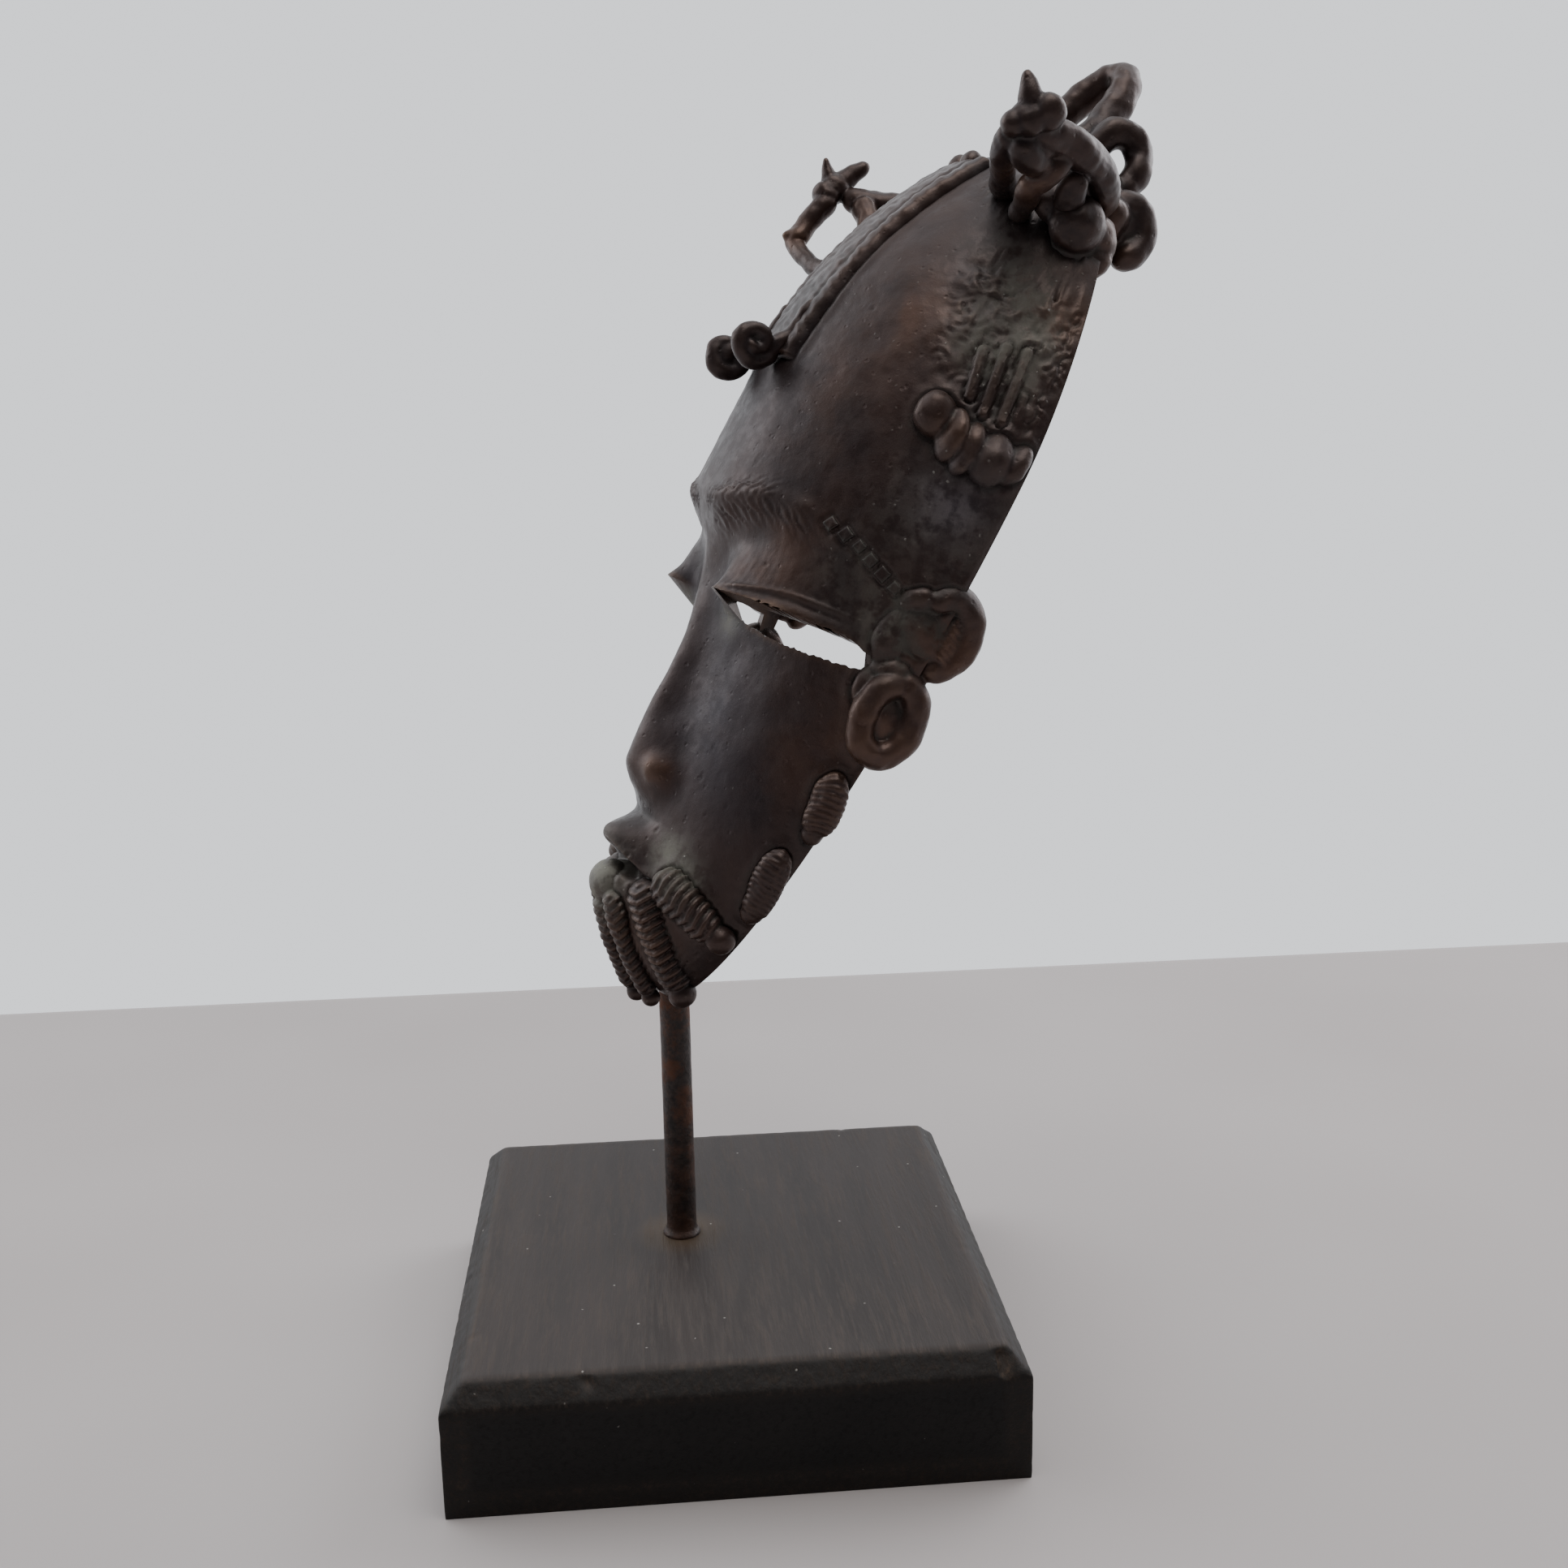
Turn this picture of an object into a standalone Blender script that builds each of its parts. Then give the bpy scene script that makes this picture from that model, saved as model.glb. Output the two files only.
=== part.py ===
"""A cast bronze mask that leans back on an iron rod in a square wooden base.

The mask is drawn upright as a pattern: u runs to its left side, v from the chin to the crown, and w out of
its face, with the open back on w = 0. The pattern is stretched to the mask's length, width and depth, and is
then leaned and turned into place on the rod.
"""

import math

import bmesh
import bpy
import numpy as np
from mathutils import Euler, Vector

# Driving dimensions, in metres and radians
BASE_SIDE = 0.120
BASE_HEIGHT = 0.028
BASE_CHAMFER = 0.0045
ROD_RADIUS = 0.0035
ROD_LET_IN = 0.016
ROD_X = -0.0022
ROD_Y = -0.0098
CHIN_HEIGHT = 0.086
CHIN_PEG = 0.014
CLEARANCE = 0.0003
MASK_LENGTH = 0.208
MASK_WIDTH = 0.100
MASK_DEPTH = 0.0492
WALL = 0.0025
MASK_LEAN = math.radians(30.0)
MASK_TURN = math.radians(14.0)

# Pattern of the plain shell as knots of row and size: plan outline, middle line and the open back's edge
OUTLINE = ((0, 0), (130, 50), (208, 0))
PROFILE = ((0, 26), (26, 26.5), (45, 28.5), (60, 31), (75, 34), (88, 38.5), (96, 43), (106, 48.8),
           (125, 49.2))
RIM = ((0, 1.0), (5, 3.3), (130, 4.2), (172, 6.0), (208, 7.0))
WIDEST_ROW, HALF_WIDTH = OUTLINE[1]
CROWN_ROW = OUTLINE[2][0]
CHIN_ROUND = PROFILE[1][0]
CROWN_START = PROFILE[-1][0]
SECTION_POWER = 1.35

# One pattern step in metres: across the mask, along it and out of it
STEP_U = MASK_WIDTH / (2 * HALF_WIDTH)
STEP_V = MASK_LENGTH / CROWN_ROW
STEP_W = MASK_DEPTH / PROFILE[-1][1]

# The hollow starts a wall beyond the rod's hole in the solid chin and ends a wall short of the crown
ROD_HOLE = ROD_RADIUS + CLEARANCE
CHIN_SOLID = (CHIN_PEG + CLEARANCE) * math.cos(MASK_LEAN) + ROD_HOLE * math.sin(MASK_LEAN) + WALL
CHIN_POCKET = CHIN_SOLID / STEP_V
CROWN_POCKET = CROWN_ROW - WALL / STEP_V

# Pattern of the carving
SLIT_ENDS = (18.0, 43.7)
SLIT_ROWS = (83.0, 86.0)
SLIT_BLEND = (70.0, 104.0)
VISOR_HEIGHT = 7.7
VISOR_REACH = 15.0
SOCKET_DEPTH = 1.9
NOSE = ((35, 0), (38, 2.2), (41, 5.0), (45, 7.3), (52, 7.0), (66, 4.8), (82, 2.2), (95, 0.4))
MOUTH_ROW = 24.5


def smooth_curve(knots, x):
    """A monotone cubic through a few knots, flat beyond the last one."""
    xs, ys = (np.array(k, float) for k in zip(*knots))
    step = np.diff(xs)
    rate = np.diff(ys) / step
    slope = np.zeros(len(xs))
    same = rate[:-1] * rate[1:] > 0
    slope[1:-1][same] = 2.0 / (1.0 / rate[:-1][same] + 1.0 / rate[1:][same])
    slope[0] = rate[0]
    x = min(max(x, xs[0]), xs[-1])
    i = min(int(np.searchsorted(xs, x, side="right")) - 1, len(xs) - 2)
    t = (x - xs[i]) / step[i]
    low = (1 + 2 * t) * (1 - t) ** 2 * ys[i] + t * (1 - t) ** 2 * step[i] * slope[i]
    return low + t * t * (3 - 2 * t) * ys[i + 1] + t * t * (t - 1) * step[i] * slope[i + 1]


def ease(x):
    """A smooth step from 0 to 1."""
    x = min(max(x, 0.0), 1.0)
    return x * x * (3 - 2 * x)


def hump(x, centre, width):
    """A smooth bump of height 1."""
    return math.exp(-(((x - centre) / width) ** 2))


# The plain shell: plan outline, depth line and rounded sections
def half_width(v, start=0.0, end=CROWN_ROW, widest=HALF_WIDTH):
    """Half of the plan outline, two half ellipses that meet at the widest row."""
    span = WIDEST_ROW - start if v < WIDEST_ROW else end - WIDEST_ROW
    return widest * math.sqrt(max(0.0, 1 - ((v - WIDEST_ROW) / span) ** 2))


def rise(v, start=0.0, end=CROWN_ROW, less=0.0):
    """How far the middle line stands out of the open back's edge."""
    chin = math.sqrt(max(0.0, 1 - (1 - min((v - start) / CHIN_ROUND, 1.0)) ** 2))
    over = max(0.0, v - CROWN_START) / (end - CROWN_START)
    return (smooth_curve(PROFILE, v) - rim_line(v) - less) * chin * max(0.0, 1 - over * over) ** 0.55


def rim_line(v):
    """The open back's edge: nearly straight, and a little further forward towards the crown."""
    return smooth_curve(RIM, v)


# The carving that stands on the shell
def slit_edge(u, side):
    """The rows of a slit's lower edge, side 0, and of the visor's edge over it, side 1."""
    u = abs(u)
    if side == 0:
        return 81.4 + 0.009 * (max(u, SLIT_ENDS[0]) - 27.0) ** 2
    return 85.4 + 3.4 * ease((u - 12.0) / 42.0)


def visor(u, v):
    """The heavy upper lid that juts out over the slit like a peak."""
    u = abs(u)
    over = v - slit_edge(u, 1)
    if over < -0.01 or over > VISOR_REACH:
        return 0.0
    height = VISOR_HEIGHT * ease((u - 9) / 9) * max(0.0, 1 - (max(u - 20, 0) / 27) ** 2)
    return height * (1 - over / VISOR_REACH) ** 1.3


def brow(u, v):
    """The arched ridge between forehead and eye socket."""
    line = 101.5 + 6.0 * ease(abs(u) / 24) - 4.5 * ease((abs(u) - 34) / 14)
    ridge = 1.3 * hump(v, line, 2.2) * ease((abs(u) - 2) / 6)
    socket = -SOCKET_DEPTH * hump(v, line - 7.5, 5.0) * hump(abs(u), 16, 11)
    return ridge + socket


def nose(u, v):
    """The long straight nose with its two wings."""
    crest = smooth_curve(NOSE, v) * ease((v - 34) / 3) * ease((101 - v) / 10)
    width = 5.2 + 3.2 * ease((70 - v) / 24)
    wings = 2.6 * hump(v, 45.5, 4.2) * hump(abs(u), 8.5, 3.2)
    return crest * hump(u, 0, width) + wings


def lips(u, v):
    """The flaring upper lip, the open mouth and the lower lip."""
    edge = MOUTH_ROW + 2.6 * hump(u, 0, 7)
    upper = 6.4 * hump(u, 0, 9.5) * ease((v - edge + 0.8) / 1.2) * ease((36.5 - v) / 8)
    mouth = -4.5 * hump(u, 0, 8) * hump(v, edge - 2.2, 1.7)
    lower = 4.6 * hump(u, 0, 8.0) * hump(v, 19.0, 3.6)
    return upper + mouth + lower


def carving(u, v):
    """All carving at one place, out of the shell."""
    return visor(u, v) + brow(u, v) + nose(u, v) + lips(u, v)


def outer(u, v):
    """Where the outer skin stands at u, v."""
    a = max(half_width(v), 1e-6)
    cosine = math.sqrt(max(0.0, 1 - (u / a) ** 2))
    return rim_line(v) + rise(v) * cosine**SECTION_POWER + carving(u, v) * ease(cosine / 0.3)


def at(u, v, w):
    """A place of the pattern: X across, Y towards the back, Z up."""
    return Vector((u, -w, v))


def to_size(bm):
    """Stretches a pattern to the mask's length, width and depth in metres."""
    bmesh.ops.scale(bm, vec=(STEP_U, STEP_W, STEP_V), verts=bm.verts)


# The two skins of the shell
def row_stations():
    """Rows from chin to crown, closer together where the carving is fine."""
    key = ((0, 14, 6), (14, 22, 4), (22, 28.5, 5), (28.5, 38, 4), (38, 48, 4), (48, 76, 4), (76, 83, 1))
    key += ((83, 86, 1), (86, 108, 7), (108, 180, 5), (180, CROWN_ROW, 8))
    rows = [0.0]
    for low, high, count in key:
        for i in range(1, count + 1):
            t = i / count
            if low == 0:
                t = 1 - math.cos(t * math.pi / 2)
            if high == CROWN_ROW:
                t = math.sin(t * math.pi / 2)
            rows.append(low + (high - low) * t)
    return rows


def slit_shares():
    """Where the two slits start and end, as shares of the half width at their row."""
    inner, last = (u / half_width(SLIT_ROWS[1]) for u in SLIT_ENDS)
    return -last, -inner, inner, last


def column_shares():
    """Places across a row, as shares of its half width, with columns on the slits' ends."""
    inner, last = slit_shares()[2:]
    half = [inner * k / 6 for k in range(1, 6)] + [inner]
    half += [inner + (last - inner) * k / 4 for k in range(1, 4)] + [last]
    half += [0.5 * (last + 1), 1.0]
    return [-s for s in reversed(half)] + [0.0] + half


def warped(v, u):
    """Moves the rows beside a slit onto its curved edges."""
    low, high = SLIT_BLEND
    if not low < v < high:
        return v
    return float(np.interp(v, (low, *SLIT_ROWS, high), (low, slit_edge(u, 0), slit_edge(u, 1), high)))


def pocket_row(v):
    """The inner skin's row for an outer row, from over the solid chin to a wall short of the crown."""
    return float(np.interp(v, (0, 45, 185, CROWN_ROW), (CHIN_POCKET, 45, 185, CROWN_POCKET)))


def skin_point(share, v, inside):
    """One point of the outer or the inner skin."""
    if not inside:
        a = half_width(v)
        row = warped(v, share * a)
        return at(share * a, row, outer(share * half_width(row), row) if abs(share) < 1 else rim_line(row))
    base = pocket_row(v)
    a = half_width(base, CHIN_POCKET, CROWN_POCKET, HALF_WIDTH - WALL / STEP_U)
    row = warped(base, share * a)
    cosine = math.sqrt(max(0.0, 1 - share * share))
    follow = (0.6 * visor(share * a, row) + brow(share * a, row)) * ease(cosine / 0.3)
    stands = rise(row, CHIN_POCKET, CROWN_POCKET, WALL / STEP_W) * cosine**SECTION_POWER
    return at(share * a, row, rim_line(row) + stands + follow)


def shell_mesh():
    """A fine outer and a coarse inner grid with poles at chin and crown, joined at the rim and the slits."""
    rows, shares = row_stations(), column_shares()
    last, side = len(rows) - 1, len(shares) - 1
    low, high = rows.index(SLIT_ROWS[0]), rows.index(SLIT_ROWS[1])
    slit_columns = [shares.index(s) for s in slit_shares()]
    bm = bmesh.new()

    def grid(inside):
        made = []
        for i, v in enumerate(rows):
            if i in (0, last):
                end = pocket_row(v) if inside else v
                made.append([bm.verts.new(at(0, end, rim_line(v)))] * len(shares))
            else:
                keep = range(0, side + 1, 2 if inside else 1)
                made.append({j: bm.verts.new(skin_point(shares[j], v, inside)) for j in keep})
        return made

    def open_here(i, j):
        return i == low and any(a <= j < b for a, b in (slit_columns[:2], slit_columns[2:]))

    def face(*corners):
        bm.faces.new(list(dict.fromkeys(corners)))

    def skin(made, row_list, step):
        for i, up in zip(row_list, row_list[1:]):
            for j in range(0, side, step):
                if not open_here(i, j):
                    face(made[i][j], made[i][j + step], made[up][j + step], made[up][j])

    all_rows = list(range(last + 1))
    inner_rows = list(range(0, low + 1, 2)) + list(range(high, last + 1, 2))
    out, back = grid(False), grid(True)
    skin(out, all_rows, 1)
    skin(back, inner_rows, 2)
    for i, up in zip(inner_rows, inner_rows[1:]):
        for j in (0, side):
            face(*(out[k][j] for k in range(i, up + 1)), back[up][j], back[i][j])
    for first, end in (slit_columns[:2], slit_columns[2:]):
        for i in (low, high):
            for j in range(first, end, 2):
                face(out[i][j], out[i][j + 1], out[i][j + 2], back[i][j + 2], back[i][j])
        for j in (first, end):
            face(out[low][j], out[high][j], back[high][j], back[low][j])
    bmesh.ops.delete(bm, geom=[v for v in bm.verts if not v.link_faces], context="VERTS")
    bmesh.ops.recalc_face_normals(bm, faces=bm.faces)
    to_size(bm)
    return bm


# Objects, materials and small makers
def material(name, colour, roughness, metallic):
    """A Principled material with a plain finish."""
    made = bpy.data.materials.new(name)
    made.use_nodes = True
    shader = made.node_tree.nodes["Principled BSDF"]
    shader.inputs["Base Color"].default_value = (*colour, 1.0)
    shader.inputs["Roughness"].default_value = roughness
    shader.inputs["Metallic"].default_value = metallic
    return made


def collection(name):
    """A new collection in the scene."""
    made = bpy.data.collections.new(name)
    bpy.context.scene.collection.children.link(made)
    return made


def mesh_object(name, bm, group):
    """An object that takes over a bmesh."""
    mesh = bpy.data.meshes.new(name)
    bm.to_mesh(mesh)
    bm.free()
    made = bpy.data.objects.new(name, mesh)
    group.objects.link(made)
    return made


def tube(name, points, radii, group, sides=1, closed=False):
    """A cast coil or limb: a bevelled poly curve through points, turned into a welded mesh."""
    curve = bpy.data.curves.new(name, "CURVE")
    curve.dimensions = "3D"
    curve.bevel_depth = 1.0
    curve.bevel_resolution = sides
    curve.use_fill_caps = not closed
    spline = curve.splines.new("POLY")
    spline.points.add(len(points) - 1)
    for point, place, radius in zip(spline.points, points, radii):
        point.co = (*at(*place), 1.0)
        point.radius = radius
    spline.use_cyclic_u = closed
    made = bpy.data.objects.new(name, curve)
    group.objects.link(made)
    bpy.context.view_layer.update()
    mesh = bpy.data.meshes.new_from_object(made.evaluated_get(bpy.context.evaluated_depsgraph_get()))
    bm = bmesh.new()
    bm.from_mesh(mesh)
    to_size(bm)
    bmesh.ops.remove_doubles(bm, verts=bm.verts, dist=1e-6)
    bmesh.ops.recalc_face_normals(bm, faces=bm.faces)
    bpy.data.objects.remove(made)
    return mesh_object(name, bm, group)


def ball(name, place, radius, group, stretch=(1, 1, 1), segments=8):
    """A wax ball pressed onto the mask, rolled a little so that its facets lie level with nothing else."""
    bm = bmesh.new()
    bmesh.ops.create_uvsphere(bm, u_segments=segments, v_segments=segments - 2, radius=radius)
    bmesh.ops.rotate(bm, matrix=Euler(BALL_ROLL).to_matrix(), verts=bm.verts)
    bmesh.ops.scale(bm, vec=stretch, verts=bm.verts)
    bmesh.ops.translate(bm, vec=at(*place), verts=bm.verts)
    to_size(bm)
    return mesh_object(name, bm, group)


def arc(centre, radius_v, radius_w, start, sweep, count, u_start, u_end=None, shrink=1.0):
    """Points on an oval coil in the v, w plane, drifting sideways and shrinking towards its end."""
    u_end = u_start if u_end is None else u_end
    points = []
    for k in range(count):
        t = k / (count - 1)
        angle = math.radians(start + sweep * t)
        size = 1 + (shrink - 1) * t
        v = centre[0] + radius_v * size * math.sin(angle)
        w = centre[1] + radius_w * size * math.cos(angle)
        points.append((u_start + (u_end - u_start) * t, v, w))
    return points


# What the caster added in wax rolls, each sunk a little into the shell
BAND_HALF = 12.5
BAND_RAISE = 1.4
BAND_ROWS = (135.0, 193.0)
CURL_SIZE = 3.9
EAR_U = 47.0
EAR_ROLL = 3.2
LOWER_EAR_ROLL = 2.9
BRAID_RING = 4.4
BALL_ROLL = (0.31, 0.23, 0.17)


def crest_band(group):
    """The flat band over the crown with a roll along each edge."""
    low, high = BAND_ROWS
    across = [BAND_HALF * k / 3 for k in range(-3, 4)]
    rows = [low + (high - low) * k / 12 for k in range(13)]
    bm = bmesh.new()
    skins = []
    for lift in (BAND_RAISE, -1.0):
        grid = []
        for v in rows:
            line = []
            for u in across:
                edge = 1.0 if lift > 0 and BAND_HALF * 0.5 < abs(u) < BAND_HALF * 0.9 else 0.0
                line.append(bm.verts.new(at(u, v, outer(u, v) + lift + edge)))
            grid.append(line)
        skins.append(grid)
    top, bottom = skins
    for i in range(len(rows) - 1):
        for j in range(len(across) - 1):
            bm.faces.new((top[i][j], top[i][j + 1], top[i + 1][j + 1], top[i + 1][j]))
            bm.faces.new((bottom[i][j], bottom[i + 1][j], bottom[i + 1][j + 1], bottom[i][j + 1]))
        for j in (0, -1):
            bm.faces.new((top[i][j], bottom[i][j], bottom[i + 1][j], top[i + 1][j]))
    for i in (0, -1):
        for j in range(len(across) - 1):
            bm.faces.new((top[i][j], top[i][j + 1], bottom[i][j + 1], bottom[i][j]))
    bmesh.ops.recalc_face_normals(bm, faces=bm.faces)
    to_size(bm)
    return [mesh_object("crest_band", bm, group)]


def crest_curls(group):
    """The band's two edge rolls turn up into scrolls over the forehead."""
    made = []
    for side in (-1, 1):
        u = side * 7.5
        lead = [(u, 147 - 3 * k, outer(u, 147 - 3 * k) + 1.2) for k in range(3)]
        centre = (135.5 - (2.0 if side < 0 else 0.0), 55.0)
        points = lead + arc(centre, CURL_SIZE, CURL_SIZE, 165, 310, 11, u, u + side * 1.5, 0.85)
        radii = [1.6 + 0.15 * min(k, 4) for k in range(len(points))]
        made.append(tube(f"curl_{side}", points, radii, group))
        made.append(ball(f"curl_eye_{side}", (u + side * 1.5, *centre), 2.0, group, segments=6))
    return made


def ears(group):
    """Two coils for each ear, an upper loop and a lower ring, each closed by a pad of wax."""
    made = []
    for side in (-1, 1):
        u = side * EAR_U
        upper_pad = ("upper", (u - side * 1.5, 96.5, 4.0), 6.5, 0.45)
        lower_pad = ("lower", (u - side * 3.4, 76.8, 4.6), 6.3, 0.5)
        for name, place, radius, thin in (upper_pad, lower_pad):
            made.append(ball(f"ear_{name}_pad_{side}", place, radius, group, (thin, 0.9, 1.1), 6))
        upper = arc((97.3, 3.5), 7.4, 5.6, 20, 250, 13, u + side * 0.5, u - side * 1.5)
        radii = [EAR_ROLL * (0.75 + 0.25 * math.sin(math.pi * k / 12)) for k in range(13)]
        made.append(tube(f"ear_upper_{side}", upper, radii, group))
        lower = arc((77.2, 5.0), 7.9, 5.4, 7, 360 - 30, 12, u - side * 1.6)
        made.append(tube(f"ear_lower_{side}", lower, [LOWER_EAR_ROLL] * 12, group, closed=True))
    return made


def coil_stack(name, start, end, count, radius, group, swell=1.0):
    """A lock of hair: wax rolls laid side by side from start to end, as one ribbed body."""
    points, radii = [], []
    steps = 2 * count
    for k in range(steps + 1):
        t = k / steps
        points.append(tuple(a + (b - a) * t for a, b in zip(start, end)))
        radii.append(radius * (1.0 if k % 2 else 0.74) * (1 + (swell - 1) * math.sin(math.pi * t)))
    radii[0] = radii[-1] = radius * 0.45
    return tube(name, points, radii, group)


# The locks of hair of the near side: start, end, rolls, radius and how much the middle swells
LOCKS = (
    ("tuft_upper", (41.5, 63, 7.5), (39.5, 49, 5.5), 5, 3.9, 1.15),
    ("tuft_lower", (36.5, 43.5, 8.5), (32, 28, 6.5), 5, 3.7, 1.15),
    ("bun", (42, 132.5, 25), (48.5, 132.5, 7.5), 4, 4.2, 1.1),
    ("strip", (44.5, 155, 14), (47, 139, 14), 3, 1.5, 1.0),
)


def hair(group):
    """Two tufts on each cheek and a ribbed bun with its strip on each temple."""
    made = []
    for side in (-1, 1):
        for name, start, end, count, radius, swell in LOCKS:
            start, end = (side * start[0], *start[1:]), (side * end[0], *end[1:])
            made.append(coil_stack(f"{name}_{side}", start, end, count, radius, group, swell))
    return made


def braids(group):
    """Seven ringed braids that hang from the lower lip over the chin."""
    made = []
    top = (15.5, 17.5, 24.0, 26.5)
    foot = (-1.5, -0.5, 4.5, 21.5)
    across = ((0, 0), (5.5, 6.5), (11.5, 13.8), (16.0, 27.5))
    out = (9.8, 8.5, 5.5, 8.5)
    size = (2.5, 2.0, 3.0, 2.7)
    for k in range(4):
        for side in ((1,) if k == 0 else (-1, 1)):
            start = (side * across[k][0], top[k], outer(across[k][0], top[k]) + 0.6)
            end = (side * across[k][1], foot[k], out[k])
            length = math.dist(start, end)
            rolls = round(length / BRAID_RING)
            made.append(coil_stack(f"braid_{k}_{side}", start, end, rolls, size[k], group))
            tip = tuple(b + (b - a) / length for a, b in zip(start, end))
            made.append(ball(f"braid_ball_{k}_{side}", tip, size[k] * 0.85, group, segments=6))
    return made


def crown_loops(group):
    """A standing arch on top of the crown, and a coil, a lobe and wax lumps down each side of it."""
    made = []
    arch = []
    for k in range(11):
        angle = math.pi * k / 10
        u, reach = 7.5 * math.cos(angle), math.sin(angle) ** 0.7
        arch.append((u, 204 + 26 * reach - 0.15 * u, 13 - 7.5 * reach - 0.3 * u))
    made.append(tube("arch", arch, [3.9] * 11, group))
    made.append(ball("crown_seat", (0, 203, 11), 7.5, group, (1.5, 1, 0.8), 6))
    made.append(ball("crest_end", (4, 193.8, 29), 2.6, group, segments=6))
    for side in (-1, 1):
        ring = arc((208.3, 3.3), 6.6, 5.2, -30, 265, 9, side * 11.5, side * 17)
        made.append(tube(f"crown_coil_{side}", ring, [2.6] * 9, group))
        lobe = arc((192.3, -0.2), 5.6, 4.4, 20, 240, 8, side * 25, side * 28)
        made.append(tube(f"crown_lobe_{side}", lobe, [3.2] * 8, group))
        made.append(ball(f"crown_root_{side}", (side * 24.5, 192, 5.5), 6.0, group, (1.2, 1, 1.1), 6))
        made.append(ball(f"crown_knob_{side}", (side * 34, 178.5, 11.5), 5.0, group, segments=6))
        made.append(ball(f"crown_lump_{side}", (side * 33.5, 184.5, 8), 5.4, group, segments=6))
    return made


# The limbs of the two crown figures as points of u outwards, v, w and radius; the two were not cast alike
SHARED_LIMBS = {
    "trunk": ((50, 188.6, 37, 2.8), (47, 192, 28, 3.3), (43, 193.5, 20, 3.4), (38, 193, 13, 3.3),
              (31, 191.5, 8, 3)),
    "back_leg": ((41, 190, 22, 1.7), (38, 189, 17, 1.6), (34, 188, 11, 1.8)),
}
NEAR_LIMBS = {
    "neck": ((49, 186.5, 39, 2.8), (51, 189.5, 38, 2.6), (52, 192, 36, 2.0)),
    "horn": ((51, 191, 38, 2.1), (51, 193, 40.4, 1.8), (51, 195.7, 43, 0.6)),
    "foreleg": ((49, 187.5, 39, 2.6), (43, 185.5, 37.5, 2.2), (33, 184.8, 31.5, 2.2), (17, 188, 24.5, 2.7)),
    "hindleg": ((44.5, 190.5, 26, 2.6), (37, 183.8, 26, 2.3), (26, 182.5, 22, 2.7)),
}
FAR_LIMBS = {
    "neck": ((50, 187.5, 39, 2.8), (51, 189.5, 40, 2.6), (52, 191, 40.5, 2.0)),
    "horn": ((52, 191, 41, 2.0), (52, 193, 42.6, 1.6), (52, 195.4, 44.1, 0.6)),
    "horn_back": ((52, 191, 39.5, 2.0), (51, 195.5, 37, 1.7), (50, 199.6, 35.3, 0.6)),
    "foreleg": ((50.5, 188.5, 39.5, 2.6), (50, 174, 42.3, 2.7), (40, 168.3, 37.5, 2.0), (23, 166, 33, 2.6)),
    "hindleg": ((47.5, 190, 31, 2.4), (40, 183.8, 29, 2.2), (26, 182, 22, 2.7)),
}
FIGURES = {
    1: ("near", {**SHARED_LIMBS, **NEAR_LIMBS}, (52, 192, 36)),
    -1: ("far", {**SHARED_LIMBS, **FAR_LIMBS}, (52, 190.8, 39.8)),
}


def figure(side, group):
    """A small horned animal that stands off the crown's side on its legs."""
    label, limbs, head = FIGURES[side]
    made = []
    for name, line in limbs.items():
        points = [(side * u, v, w) for u, v, w, _ in line]
        made.append(tube(f"{label}_{name}", points, [knot[3] for knot in line], group))
    made.append(ball(f"{label}_head", (side * head[0], head[1], head[2]), 3.2, group, segments=6))
    return made


def unite(target, pieces):
    """Fuses wax pieces into the casting one after another, and takes the tools away."""
    for piece in pieces:
        step = target.modifiers.new(piece.name, "BOOLEAN")
        step.operation = "UNION"
        step.object = piece
        step.solver = "EXACT"
        bpy.context.view_layer.update()
        fused = bpy.data.meshes.new_from_object(target.evaluated_get(bpy.context.evaluated_depsgraph_get()))
        target.modifiers.clear()
        target.data = fused
        bpy.data.objects.remove(piece)


def make_mask(parts, wax):
    """The whole casting as one closed body."""
    mask = mesh_object("mask", shell_mesh(), parts)
    pieces = crest_band(wax) + crest_curls(wax) + ears(wax) + hair(wax) + braids(wax) + crown_loops(wax)
    for side in (-1, 1):
        pieces += figure(side, wax)
    unite(mask, pieces)
    mask.location = (ROD_X, ROD_Y, CHIN_HEIGHT)
    mask.rotation_euler = (-MASK_LEAN, 0.0, MASK_TURN)
    mask.data.materials.clear()
    mask.data.materials.append(material("dark bronze", (0.045, 0.032, 0.026), 0.42, 0.9))
    return mask


def upright_cylinder(name, radius, low, high, group, sides=24):
    """A round bar or cutter on the rod's axis."""
    bm = bmesh.new()
    bmesh.ops.create_cone(bm, cap_ends=True, segments=sides, radius1=radius, radius2=radius, depth=high - low)
    bmesh.ops.translate(bm, vec=(ROD_X, ROD_Y, (low + high) / 2), verts=bm.verts)
    return mesh_object(name, bm, group)


def cut(target, cutter):
    """Takes a cutter out of a piece."""
    cutter.hide_render = True
    cutter.display_type = "WIRE"
    step = target.modifiers.new(cutter.name, "BOOLEAN")
    step.operation = "DIFFERENCE"
    step.object = cutter
    step.solver = "EXACT"


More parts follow.
